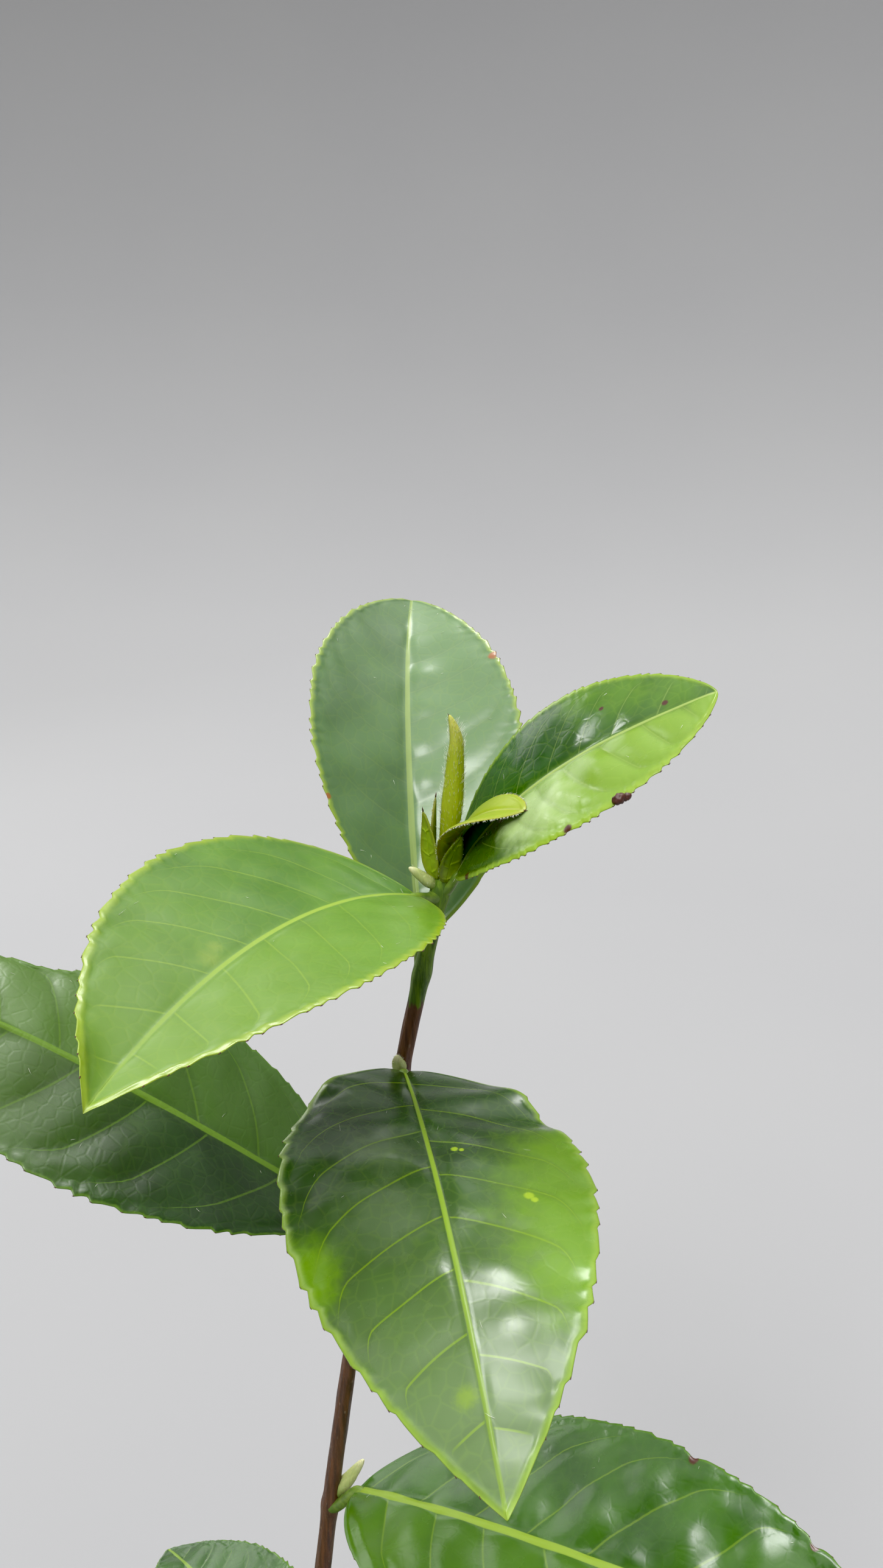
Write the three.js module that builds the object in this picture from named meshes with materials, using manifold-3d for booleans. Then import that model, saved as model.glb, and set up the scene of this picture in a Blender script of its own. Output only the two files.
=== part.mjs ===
// A young potted tea plant: one leaning stem, ten leaves on a spiral, and the growing tip with its bud.
// Millimetres, +Z up. The origin is the centre of the pot's flat underside, and +Y points to the back.
import * as THREE from 'three';
import { mergeVertices } from 'three/addons/utils/BufferGeometryUtils.js';
import Module from 'manifold-3d';

const wasm = await Module();
wasm.setup();

// Clearance that touching pieces keep from each other.
const GAP = 0.32;

// Pot: a tapered round tub with a plain turned-out rim and round drainage holes.
const POT_HEIGHT = 120;
const POT_FOOT_RADIUS = 45;
const POT_NECK_RADIUS = 60;
const POT_RIM_RADIUS = 64;
const POT_RIM_DEPTH = 11;
const POT_WALL = 1.8;
const POT_FLOOR = 2.4;
const POT_EDGE = 1.2;
const POT_SEGMENTS = 40;
const DRAIN_COUNT = 6;
const DRAIN_RADIUS = 4.5;
const DRAIN_CIRCLE = 30;
const DRAIN_SEGMENTS = 10;

// Potting mix: it fills the pot to a finger's width below the rim.
const SOIL_TOP = 107.7;
const SOIL_SEGMENTS = 40;

// Stem: it leans to +X in one even bow, thins towards the tip and swells a little at each leaf.
const STEM_FOOT = 108;
const STEM_TOP = 370.6;
const STEM_LEAN = 31.6;
const STEM_BOW = 1.78;
const STEM_FOOT_RADIUS = 2.65;
const STEM_TOP_RADIUS = 1.45;
const FLARE_RADIUS = 1.4;
const FLARE_HEIGHT = 7;
const NODE_SWELL = 0.3;
const NODE_SPREAD = 2.2;
const TIP_TAPER = 3;
const TIP_LOSS = 0.25;
const FOOT_RINGS = [0, 1, 2.5, 5, 9, 15];
const STEM_RING_STEP = 16;
const STEM_RING_LEAST = 0.9;
const STEM_SIDES = 12;

// Leaf blades: rows along the blade, columns across each half, and small teeth that point to the tip. Shares
// are of the blade's length, of the half width for the columns, and of a tooth's pitch for its lean.
const BLADE_STEPS = 60;
const BLADE_ROWS = 10;
const SCALE_ROWS = 6;
const BLADE_COLUMNS = [0.45, 0.86];
const THICKNESS_SHARE = 0.0105;
const TEETH = 20;
const TOOTH_DEPTH = 0.5;
const TOOTHED_FROM = 0.1;
const TOOTHED_TO = 0.965;
const TOOTH_LEAN = 0.72;
const TEETH_TO_FULL = 4;
const SMOOTH_STATIONS = [0.015, 0.04, 0.07];

// Leaf stalks, and the midrib that each becomes under its blade: radii are shares of the stalk's own.
const STALK_STATIONS = [0.12, 0.45, 0.85];
const STALK_BENDS_BY = 0.33;
const STALK_FOOT = 1.05;
const STALK_TOP = 0.9;
const MIDRIB_START = 0.035;
const MIDRIB_END = 0.84;
const MIDRIB_END_RADIUS = 0.35;
const MIDRIB_DROP = 0.55;
const MIDRIB_STEPS = 6;
const TUBE_SIDES = 7;

// Each leaf: where it leaves the stem, which way it heads and how much it turns on the way, how steeply it
// rises at its base, middle and tip, how it rolls about its midrib, and the size and fold of its blade. Its
// stalk rises as steeply as the blade's base unless stalkRise says otherwise.
// Angles are in degrees. A heading of 0 is +X and 90 is +Y, the back.
const LEAVES = [
  {
    name: 'leaf_right', height: 366.7, petiole: 3.7, stalk: 0.9,
    heading: -33, turn: 21, rise: [63, 38, 25], roll: [-35, -28],
    length: 53.5, width: 31.5, fold: [13, 3], cup: -9, base: 0.7, tip: 0.71,
  },
  {
    name: 'leaf_left_front', height: 365.8, petiole: 4.2, stalk: 0.95,
    heading: 228, turn: 31, rise: [21, -1, -5], roll: [10, 16],
    length: 76.5, width: 41, fold: [9, 16], cup: 1, base: 0.72, tip: 1.06,
  },
  {
    name: 'leaf_back', height: 351.5, petiole: 5, stalk: 1.0,
    heading: 99, turn: -12, rise: [60, 47, 24], roll: [-13, -9],
    length: 75.5, width: 42, fold: [24, 15], cup: 9, base: 0.76, tip: 0.81,
  },
  {
    name: 'leaf_centre_front', height: 331.5, petiole: 5, stalk: 1.0, stalkRise: 54,
    heading: 280, turn: -1, rise: [11, -4, -16], roll: [10, -16],
    length: 81.5, width: 44, fold: [9, -11], cup: -6, base: 0.71, tip: 1.04,
  },
  {
    name: 'leaf_far_left', height: 301, petiole: 4.7, stalk: 1.1,
    heading: 190, turn: -5, rise: [41, 36, 26], roll: [14, 28],
    length: 98, width: 44, fold: [21, -16], cup: -5, base: 0.67, tip: 0.87,
  },
  {
    name: 'leaf_low_right', height: 235.5, petiole: 9.8, stalk: 1.2, stalkRise: 56,
    heading: 323, turn: 11, rise: [26, 12, 1], roll: [1, -14],
    length: 106, width: 48, fold: [7, 7], cup: 2, base: 0.69, tip: 0.84,
  },
  {
    name: 'leaf_low_front', height: 198, petiole: 6, stalk: 1.2, stalkRise: 50,
    heading: 235, turn: 12, rise: [20, -4, -26], roll: [-4, 9],
    length: 86, width: 43, fold: [9, 3], cup: 2, base: 0.7, tip: 0.95,
  },
  {
    name: 'leaf_low_back', height: 160, petiole: 5, stalk: 1.1, stalkRise: 36,
    heading: 130, turn: 3, rise: [30, 0, -25], roll: [5, -8],
    length: 60, width: 35, fold: [10, 4], cup: 3, base: 0.7, tip: 0.9,
  },
  {
    name: 'leaf_lower_side', height: 147, petiole: 5.5, stalk: 1.1, stalkRise: 46,
    heading: 36, turn: -8, rise: [30, 8, -20], roll: [3, -10],
    length: 76, width: 38, fold: [10, 5], cup: 2, base: 0.7, tip: 0.9,
  },
  {
    name: 'leaf_lowest', height: 134.5, petiole: 5, stalk: 1.0, stalkRise: 44,
    heading: 204, turn: 10, rise: [30, 14, -14], roll: [-5, 6],
    length: 64, width: 33, fold: [12, 6], cup: 2, base: 0.7, tip: 0.9,
  },
];

// The leaf that is unfolding at the tip and the three bud scales round it: the same blade without teeth.
// The scales have no stalk.
const TIP_LEAVES = [
  {
    name: 'young_leaf', height: 369.5, petiole: 1.6, stalk: 0.6,
    heading: -47, turn: -2, rise: [90, 35, 9], roll: [-9, -23],
    length: 23.8, width: 10, thickness: 0.4, fold: [22, 10], cup: -9, base: 0.64, tip: 0.68,
  },
  {
    name: 'scale_left', height: 368.6, petiole: 0.2,
    heading: 216, turn: -2, rise: [76, 82, 71], roll: [-12, -3],
    length: 13, width: 4, thickness: 0.4, fold: [-18, -3], cup: 4, base: 0.58, tip: 1,
  },
  {
    name: 'scale_right', height: 368, petiole: 0.4,
    heading: -66, turn: 4, rise: [80, 58, 55], roll: [5, 5],
    length: 11.8, width: 3.6, thickness: 0.4, fold: [-16, -7], cup: 3, base: 0.6, tip: 1,
  },
  {
    name: 'scale_back', height: 369, petiole: 0.2,
    heading: 160, turn: 0, rise: [88, 90, 96], roll: [0, 0],
    length: 14, width: 2.6, thickness: 0.4, fold: [-14, -4], cup: 4, base: 0.6, tip: 1,
  },
];

// The spike-shaped bud at the very tip. It leans to +X by lean, mostly in its lower part, which bend says. A
// bud is root of its width at its foot, and has its full width from full of its length.
const TIP_BUD = {
  name: 'tip_bud', length: 26, width: 3.9, lean: 2, bend: 0.6, back: 0.6, root: 0.6, full: 0.42, sides: 12,
};

// Small buds that sit between a leaf's stalk and the stem.
const AXIL_BUDS = [
  { name: 'axil_bud_left_front', leaf: 'leaf_left_front', length: 6, width: 2.0, rise: 40, aside: -32 },
  { name: 'axil_bud_centre_front', leaf: 'leaf_centre_front', length: 4.4, width: 2.4, rise: 62, aside: -26 },
  { name: 'axil_bud_far_left', leaf: 'leaf_far_left', length: 6, width: 2.2, rise: 74, aside: 0 },
  { name: 'axil_bud_low_right', leaf: 'leaf_low_right', length: 10.5, width: 2.6, rise: 58, aside: 34 },
  { name: 'axil_bud_low_back', leaf: 'leaf_low_back', length: 8, width: 2.6, rise: 62, aside: 0 },
  { name: 'axil_bud_low_front', leaf: 'leaf_low_front', length: 7, width: 2.4, rise: 64, aside: 0 },
  { name: 'axil_bud_lower_side', leaf: 'leaf_lower_side', length: 7, width: 2.4, rise: 64, aside: 0 },
  { name: 'axil_bud_lowest', leaf: 'leaf_lowest', length: 6, width: 2.2, rise: 66, aside: 0 },
];
const AXIL_BUD_FORM = { root: 0.62, full: 0.25, sides: 8 };

// Every bud has rings up to just short of its point. An axil bud's root lies BUD_ROOT inside the stem's
// surface, BUD_SEAT of its width above the stalk.
const BUD_STEPS = 6;
const BUD_END = 0.985;
const BUD_POINT = 2.2;
const BUD_ROOT = 0.5;
const BUD_SEAT = 0.4;

const FINISHES = {
  pot: { color: 0x2b2b2d, roughness: 0.6 },
  soil: { color: 0x3a2a1e, roughness: 0.95 },
  stem: { color: 0x5a3a22, roughness: 0.7 },
  leaf: { color: 0x3c7a1e, roughness: 0.35 },
  youngLeaf: { color: 0x9bb52a, roughness: 0.5 },
  bud: { color: 0xb9c07a, roughness: 0.6 },
};

const radians = THREE.MathUtils.degToRad;
const lerp = THREE.MathUtils.lerp;

// A quadratic through three values at the start, the middle and the end of a 0 to 1 run.
function through([start, middle, end], u) {
  return start * (2 * u - 1) * (u - 1) + middle * 4 * u * (1 - u) + end * u * (2 * u - 1);
}

function direction(heading, rise) {
  const flat = Math.cos(rise);
  return new THREE.Vector3(flat * Math.cos(heading), flat * Math.sin(heading), Math.sin(rise));
}

// Solids: a closed mesh in and out of the boolean library.

function toSolid(geometry) {
  const bare = geometry.clone();
  bare.deleteAttribute('normal');
  bare.deleteAttribute('uv');
  const merged = mergeVertices(bare, 1e-5);
  const corners = merged.index.array;
  const kept = [];
  for (let i = 0; i < corners.length; i += 3) {
    const [a, b, c] = corners.slice(i, i + 3);
    if (a !== b && b !== c && c !== a) kept.push(a, b, c);
  }
  const mesh = new wasm.Mesh({
    numProp: 3,
    vertProperties: new Float32Array(merged.attributes.position.array),
    triVerts: new Uint32Array(kept),
  });
  return new wasm.Manifold(mesh);
}

function toGeometry(solid) {
  const mesh = solid.getMesh();
  const geometry = new THREE.BufferGeometry();
  geometry.setAttribute('position', new THREE.BufferAttribute(new Float32Array(mesh.vertProperties), 3));
  geometry.setIndex(new THREE.BufferAttribute(new Uint32Array(mesh.triVerts), 1));
  geometry.computeVertexNormals();
  return geometry;
}

function indexed(points, triangles) {
  const geometry = new THREE.BufferGeometry().setFromPoints(points);
  geometry.setIndex(triangles);
  return geometry;
}

// A closed skin over rings of equal count, each ring running anticlockwise seen from the far end.
function loft(rings) {
  const count = rings[0].length;
  const points = rings.flat();
  const triangles = [];
  for (let i = 0; i < rings.length - 1; i += 1) {
    for (let j = 0; j < count; j += 1) {
      const a = i * count + j;
      const b = i * count + ((j + 1) % count);
      triangles.push(a, b, b + count, a, b + count, a + count);
    }
  }
  const last = (rings.length - 1) * count;
  for (let j = 1; j < count - 1; j += 1) {
    triangles.push(0, j + 1, j);
    triangles.push(last, last + j, last + j + 1);
  }
  return indexed(points, triangles);
}

// One ring round a centre, square to the given direction.
function ring(centre, along, radius, sides) {
  const level = Math.abs(along.z) < 0.9 ? new THREE.Vector3(0, 0, 1) : new THREE.Vector3(0, 1, 0);
  const across = new THREE.Vector3().crossVectors(level, along).normalize();
  const other = new THREE.Vector3().crossVectors(along, across);
  return Array.from({ length: sides }, (_, i) => {
    const angle = (2 * Math.PI * i) / sides;
    return centre.clone()
      .addScaledVector(across, radius * Math.cos(angle))
      .addScaledVector(other, radius * Math.sin(angle));
  });
}

function turned(profile, segments) {
  const points = profile.map(([radius, height]) => new THREE.Vector2(radius, height));
  return new THREE.LatheGeometry(points, segments).rotateX(Math.PI / 2);
}

// Pot and potting mix.

const POT_SLOPE = (POT_NECK_RADIUS - POT_FOOT_RADIUS) / (POT_HEIGHT - POT_RIM_DEPTH);

function potInnerRadius(height) {
  return POT_FOOT_RADIUS + POT_SLOPE * height - POT_WALL;
}

function potSolid() {
  const neck = POT_HEIGHT - POT_RIM_DEPTH;
  const profile = [
    [0, 0],
    [POT_FOOT_RADIUS - POT_EDGE, 0],
    [POT_FOOT_RADIUS, POT_EDGE],
    [POT_NECK_RADIUS, neck],
    [POT_RIM_RADIUS - POT_EDGE, neck],
    [POT_RIM_RADIUS, neck + POT_EDGE],
    [POT_RIM_RADIUS, POT_HEIGHT - POT_EDGE],
    [POT_RIM_RADIUS - POT_EDGE, POT_HEIGHT],
    [potInnerRadius(POT_HEIGHT) + POT_EDGE, POT_HEIGHT],
    [potInnerRadius(POT_HEIGHT), POT_HEIGHT - POT_EDGE],
    [potInnerRadius(POT_FLOOR), POT_FLOOR],
    [0, POT_FLOOR],
  ];
  let pot = toSolid(turned(profile, POT_SEGMENTS));
  for (let i = 0; i < DRAIN_COUNT; i += 1) {
    const angle = (2 * Math.PI * (i + 0.5)) / DRAIN_COUNT;
    const drain = new THREE.CylinderGeometry(DRAIN_RADIUS, DRAIN_RADIUS, 4 * POT_FLOOR, DRAIN_SEGMENTS);
    drain.rotateX(Math.PI / 2);
    drain.translate(DRAIN_CIRCLE * Math.cos(angle), DRAIN_CIRCLE * Math.sin(angle), 0);
    pot = pot.subtract(toSolid(drain));
  }
  return pot;
}

function soilSolid() {
  const foot = POT_FLOOR + GAP;
  const profile = [
    [0, foot],
    [potInnerRadius(foot) - GAP, foot],
    [potInnerRadius(SOIL_TOP) - GAP, SOIL_TOP],
    [0, SOIL_TOP],
  ];
  return toSolid(turned(profile, SOIL_SEGMENTS));
}

// Stem.

function stemPoint(height) {
  const run = Math.max(0, (height - STEM_FOOT) / (STEM_TOP - STEM_FOOT));
  return new THREE.Vector3(STEM_LEAN * run ** STEM_BOW, 0, height);
}

function stemTaper(height) {
  const left = 1 - (height - STEM_FOOT) / (STEM_TOP - STEM_FOOT);
  return STEM_TOP_RADIUS + (STEM_FOOT_RADIUS - STEM_TOP_RADIUS) * left ** 3;
}

function stemRadius(height) {
  const flare = FLARE_RADIUS * Math.exp(-(height - STEM_FOOT) / FLARE_HEIGHT);
  const swell = LEAVES.reduce((sum, leaf) => {
    const off = (height - leaf.height) / NODE_SPREAD;
    return Math.max(sum, NODE_SWELL * Math.exp(-off * off));
  }, 0);
  const tip = Math.min(1, Math.max(0, (height - (STEM_TOP - TIP_TAPER)) / TIP_TAPER));
  return stemTaper(height) + flare + swell * (1 - tip) - TIP_LOSS * tip * tip;
}

function stemHeights() {
  const heights = FOOT_RINGS.map((z) => STEM_FOOT + z);
  for (const leaf of LEAVES) {
    for (const off of [-NODE_SPREAD, 0, NODE_SPREAD]) heights.push(leaf.height + off);
  }
  for (let z = STEM_FOOT + 2 * STEM_RING_STEP; z < STEM_TOP; z += STEM_RING_STEP) heights.push(z);
  heights.push(STEM_TOP - TIP_TAPER, STEM_TOP - TIP_TAPER / 2, STEM_TOP);
  const rising = heights.filter((z) => z <= STEM_TOP).sort((a, b) => a - b);
  return rising.filter((z, i) => i === rising.length - 1 || rising[i + 1] - z > STEM_RING_LEAST);
}

function stemSolid(grow) {
  const heights = stemHeights();
  heights[0] -= grow;
  heights[heights.length - 1] += grow;
  const up = new THREE.Vector3(0, 0, 1);
  return toSolid(loft(heights.map((z) => ring(stemPoint(z), up, stemRadius(z) + grow, STEM_SIDES))));
}

// Leaf blades.

function stalkDirection(leaf) {
  return direction(radians(leaf.heading), radians(leaf.stalkRise ?? leaf.rise[0]));
}

// The frames of a blade from its base to its tip: the midrib's point and directions, the half width and fold.
function bladeFrames(leaf) {
  const heading = (u) => radians(leaf.heading + leaf.turn * u);
  const along = (u) => direction(heading(u), radians(through(leaf.rise, u)));
  const point = stemPoint(leaf.height)
    .addScaledVector(direction(heading(0), 0), stemTaper(leaf.height))
    .addScaledVector(stalkDirection(leaf), leaf.petiole);
  const widest = leaf.base / (leaf.base + leaf.tip);
  const step = 1 / BLADE_STEPS;
  const frames = [];
  for (let i = 0; i <= BLADE_STEPS; i += 1) {
    const u = i * step;
    if (i > 0) {
      point.addScaledVector(along(u - step), (leaf.length * step) / 2);
      point.addScaledVector(along(u), (leaf.length * step) / 2);
    }
    const level = new THREE.Vector3(Math.sin(heading(u)), -Math.cos(heading(u)), 0);
    const upright = new THREE.Vector3().crossVectors(level, along(u));
    const roll = radians(lerp(leaf.roll[0], leaf.roll[1], u));
    frames.push({
      point: point.clone(),
      along: along(u),
      side: level.clone().multiplyScalar(Math.cos(roll)).addScaledVector(upright, Math.sin(roll)),
      normal: upright.clone().multiplyScalar(Math.cos(roll)).addScaledVector(level, -Math.sin(roll)),
      half: 0.5 * leaf.width * (u / widest) ** leaf.base * ((1 - u) / (1 - widest)) ** leaf.tip,
      fold: radians(lerp(leaf.fold[0], leaf.fold[1], u)),
    });
  }
  return frames;
}

function frameAt(frames, u) {
  const place = Math.min(u, 0.99999) * BLADE_STEPS;
  const low = frames[Math.floor(place)];
  const high = frames[Math.floor(place) + 1];
  const t = place - Math.floor(place);
  return {
    point: low.point.clone().lerp(high.point, t),
    side: low.side.clone().lerp(high.side, t).normalize(),
    normal: low.normal.clone().lerp(high.normal, t).normalize(),
    half: lerp(low.half, high.half, t),
    fold: lerp(low.fold, high.fold, t),
  };
}

// A point of one half's skin: hand is 1 or -1, reach 0 at the midrib and 1 at the margin, and beyond is the
// extra reach of a tooth. Lift moves the point off the middle surface, up or down.
function bladePoint(leaf, frame, hand, reach, beyond, lift) {
  const out = reach * frame.half + beyond;
  const angle = frame.fold + radians(leaf.cup) * (reach / 2);
  const slope = reach > 0 ? frame.fold + radians(leaf.cup) * reach : 0;
  return frame.point.clone()
    .addScaledVector(frame.side, hand * (out * Math.cos(angle) - lift * Math.sin(slope)))
    .addScaledVector(frame.normal, out * Math.sin(angle) + lift * Math.cos(slope));
}

// Stations down one margin: u along the blade and the tooth's extra reach.
function marginStations(toothed, grow) {
  const stations = SMOOTH_STATIONS.map((u) => [u, grow]);
  if (!toothed) {
    const last = SMOOTH_STATIONS[SMOOTH_STATIONS.length - 1];
    for (let i = 1; i < SCALE_ROWS; i += 1) stations.push([lerp(last, 1, i / SCALE_ROWS), grow]);
    return stations;
  }
  const pitch = (TOOTHED_TO - TOOTHED_FROM) / TEETH;
  for (let i = 0; i < TEETH; i += 1) {
    const start = TOOTHED_FROM + i * pitch;
    const fade = Math.min(1, (i + 1) / TEETH_TO_FULL, (TEETH - i) / TEETH_TO_FULL);
    stations.push([start, grow - 0.5 * TOOTH_DEPTH * fade]);
    stations.push([start + TOOTH_LEAN * pitch, grow + 0.5 * TOOTH_DEPTH * fade]);
  }
  stations.push([TOOTHED_TO, grow]);
  return stations;
}

// Triangles between two runs of vertices that share their first and last vertex.
function strip(left, right) {
  const triangles = [];
  let i = 0;
  let j = 0;
  while (i < left.length - 1 || j < right.length - 1) {
    const leftFirst = j === right.length - 1 || (i < left.length - 1 && left[i + 1].u <= right[j + 1].u);
    const next = leftFirst ? left[i + 1].id : right[j + 1].id;
    const corners = [left[i].id, right[j].id, next];
    if (new Set(corners).size === 3) triangles.push(corners);
    if (leftFirst) i += 1;
    else j += 1;
  }
  return triangles;
}

function bladeGeometry(leaf, frames, grow) {
  const thickness = leaf.thickness ?? leaf.length * THICKNESS_SHARE;
  const lift = thickness / 2 + grow;
  const points = [];
  const triangles = [];
  const add = (point) => points.push(point) - 1;
  const face = (corners, flip) => triangles.push(...(flip ? [corners[0], corners[2], corners[1]] : corners));
  const rims = {};
  const toothed = LEAVES.includes(leaf);
  const rowCount = toothed ? BLADE_ROWS : SCALE_ROWS;
  for (const up of [1, -1]) {
    const put = (u, hand, reach, beyond) => ({
      u,
      id: add(bladePoint(leaf, frameAt(frames, u), hand, reach, beyond, up * lift)),
    });
    const base = put(0, 1, 0, 0);
    const tip = put(1, 1, 0, 0);
    const rows = Array.from({ length: rowCount - 1 }, (_, i) => (i + 1) / rowCount);
    const midrib = [base, ...rows.map((u) => put(u, 1, 0, 0)), tip];
    for (const hand of [1, -1]) {
      const columns = BLADE_COLUMNS.map((reach) => [base, ...rows.map((u) => put(u, hand, reach, 0)), tip]);
      const margin = marginStations(toothed, grow).map(([u, beyond]) => put(u, hand, 1, beyond));
      const runs = [midrib, ...columns, [base, ...margin, tip]];
      for (let i = 0; i < runs.length - 1; i += 1) {
        for (const corners of strip(runs[i], runs[i + 1])) face(corners, hand * up < 0);
      }
      rims[`${hand},${up}`] = runs[runs.length - 1];
    }
  }
  for (const hand of [1, -1]) {
    const top = rims[`${hand},1`];
    const under = rims[`${hand},-1`];
    for (let i = 0; i < top.length - 1; i += 1) {
      face([top[i].id, under[i].id, under[i + 1].id], hand < 0);
      face([top[i].id, under[i + 1].id, top[i + 1].id], hand < 0);
    }
  }
  return indexed(points, triangles);
}

// The stalk, from inside the stem to the blade, and the midrib that it becomes under the blade.
function stalkGeometry(leaf, frames, grow) {
  const heart = stemPoint(leaf.height);
  const base = frames[0].point;
  const rising = stalkDirection(leaf);
  const first = base.clone().addScaledVector(rising, -leaf.petiole);
  const outward = first.clone().sub(heart).normalize();
  const rings = [ring(heart, outward, leaf.stalk * STALK_FOOT + grow, TUBE_SIDES)];
  for (const t of STALK_STATIONS) {
    const along = outward.clone().lerp(rising, Math.min(1, t / STALK_BENDS_BY)).normalize();
    const radius = leaf.stalk * lerp(STALK_FOOT, STALK_TOP, t);
    rings.push(ring(first.clone().lerp(base, t), along, radius + grow, TUBE_SIDES));
  }
  for (let i = 0; i <= MIDRIB_STEPS; i += 1) {
    const u = lerp(MIDRIB_START, MIDRIB_END, i / MIDRIB_STEPS);
    const frame = frames[Math.round(u * BLADE_STEPS)];
    const radius = lerp(leaf.stalk * STALK_TOP, MIDRIB_END_RADIUS, u / MIDRIB_END);
    const centre = frame.point.clone().addScaledVector(frame.normal, -MIDRIB_DROP * radius);
    rings.push(ring(centre, frame.along, radius + grow, TUBE_SIDES));
  }
  return loft(rings);
}

function leafSolid(leaf, grow = 0) {
  const frames = bladeFrames(leaf);
  const blade = toSolid(bladeGeometry(leaf, frames, grow));
  return leaf.stalk ? blade.add(toSolid(stalkGeometry(leaf, frames, grow))) : blade;
}

// Buds.

// The half width of a bud along its length: it fills out from its root and is drawn out to a point.
function budRadius(bud, t) {
  return 0.5 * bud.width * Math.min(1, lerp(bud.root, 1, t / bud.full)) * Math.sqrt(1 - t ** BUD_POINT);
}

function budSolid(bud, centreAt, along, grow) {
  const rings = [];
  for (let i = 0; i <= BUD_STEPS; i += 1) {
    const t = Math.min(i / BUD_STEPS, BUD_END);
    rings.push(ring(centreAt(t), along, budRadius(bud, t) + grow, bud.sides));
  }
  return toSolid(loft(rings));
}

function tipBudSolid(grow = 0) {
  const foot = stemPoint(STEM_TOP);
  foot.z += GAP - grow;
  const centreAt = (t) => new THREE.Vector3(
    foot.x + TIP_BUD.lean * t * (1 + TIP_BUD.bend * (1 - t)),
    foot.y + TIP_BUD.back,
    foot.z + TIP_BUD.length * t);
  return budSolid(TIP_BUD, centreAt, new THREE.Vector3(0, 0, 1), grow);
}

function axilBudSolid(bud, grow = 0) {
  const leaf = LEAVES.find((one) => one.name === bud.leaf);
  const heading = radians(leaf.heading + bud.aside);
  const along = direction(heading, radians(bud.rise));
  const root = stemPoint(leaf.height + leaf.stalk + BUD_SEAT * bud.width)
    .addScaledVector(direction(heading, 0), stemTaper(leaf.height) - BUD_ROOT);
  const centreAt = (t) => root.clone().addScaledVector(along, bud.length * t);
  return budSolid({ ...AXIL_BUD_FORM, ...bud }, centreAt, along, grow);
}

// Assembly: every piece is cut clear of the ones that it springs from.

const plant = new THREE.Group();
plant.name = 'tea_plant';

function place(name, solid, finish) {
  const mesh = new THREE.Mesh(toGeometry(solid), new THREE.MeshStandardMaterial({ ...finish, metalness: 0 }));
  mesh.name = name;
  plant.add(mesh);
}

place('pot', potSolid(), FINISHES.pot);
place('potting_mix', soilSolid(), FINISHES.soil);
place('main_stem', stemSolid(0), FINISHES.stem);

const stemSpace = stemSolid(GAP);
for (const leaf of LEAVES) {
  place(leaf.name, leafSolid(leaf).subtract(stemSpace), FINISHES.leaf);
}

for (const bud of AXIL_BUDS) {
  const leaf = LEAVES.find((one) => one.name === bud.leaf);
  const solid = axilBudSolid(bud).subtract(stemSpace).subtract(leafSolid(leaf, GAP));
  place(bud.name, solid, FINISHES.bud);
}

place(TIP_BUD.name, tipBudSolid(), FINISHES.youngLeaf);
let tipSpace = stemSpace.add(tipBudSolid(GAP)).add(axilBudSolid(AXIL_BUDS[0], GAP));
for (const leaf of LEAVES.slice(0, 2)) tipSpace = tipSpace.add(leafSolid(leaf, GAP));
for (const leaf of TIP_LEAVES) {
  place(leaf.name, leafSolid(leaf).subtract(tipSpace), FINISHES.youngLeaf);
  tipSpace = tipSpace.add(leafSolid(leaf, GAP));
}

export default plant;
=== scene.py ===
"""The looks of a young potted tea plant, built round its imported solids.

Sizes and places are in millimetres, as in the solids' source, and every mesh is scaled to metres when it is
made. +Z is up, +X is the way the stem leans and +Y is the back.
"""
import math

import bpy
import numpy as np
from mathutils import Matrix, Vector


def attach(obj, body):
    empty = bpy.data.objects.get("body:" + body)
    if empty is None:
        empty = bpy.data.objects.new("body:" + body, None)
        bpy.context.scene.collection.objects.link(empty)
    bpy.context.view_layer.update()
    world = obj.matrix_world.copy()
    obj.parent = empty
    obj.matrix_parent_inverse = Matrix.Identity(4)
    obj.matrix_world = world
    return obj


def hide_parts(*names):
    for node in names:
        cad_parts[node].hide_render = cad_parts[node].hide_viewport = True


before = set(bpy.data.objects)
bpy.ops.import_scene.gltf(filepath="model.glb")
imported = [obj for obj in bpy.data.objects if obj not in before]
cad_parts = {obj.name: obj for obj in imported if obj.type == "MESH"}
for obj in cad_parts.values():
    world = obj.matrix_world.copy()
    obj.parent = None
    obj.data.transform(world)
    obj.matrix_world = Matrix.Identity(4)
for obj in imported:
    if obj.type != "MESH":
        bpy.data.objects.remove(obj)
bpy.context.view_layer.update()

MM = 0.001
BODY = "root"
UP = np.array([0, 0, 1.0])
BACK = np.array([0, 1.0, 0])

# The camera: the photo's size and focal length in pixels, its place and how far it looks down.
PHOTO_HEIGHT = 2576
PHOTO_FOCAL = 1787
SENSOR = 36
CAMERA_PLACE = (31, -170, 434)
CAMERA_PITCH = 16
CAMERA_NEAR = 0.005

# Pot and potting mix. A lump of the mix's top is (height, wavelength, seed), and a grain's form is its three
# lengths as shares of its size.
POT_HEIGHT = 120
POT_FOOT_RADIUS = 45
POT_NECK_RADIUS = 60
POT_RIM_RADIUS = 64
POT_RIM_DEPTH = 11
POT_WALL = 1.8
POT_FLOOR = 2.4
DRAIN_COUNT = 6
DRAIN_RADIUS = 4.5
DRAIN_CIRCLE = 30
POT_SIDES = 144
FOOT_RING = 6
FOOT_RECESS = 0.8
FOOT_ROUND = 1.2
LIP_ROUND = 0.8
RIM_ROUND = 1.3
BEAD_OUT = 0.45
GROOVE_DEPTH = 0.35
DRAIN_SIDES = 32
SOIL_TOP = 107.7
SOIL_GAP = 0.3
SOIL_SIDES = 180
SOIL_RINGS = 70
SOIL_LUMPS = ((1.1, 22, 31), (0.55, 8, 32), (0.3, 3, 33))
WALL_SINK = 1.6
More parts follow.
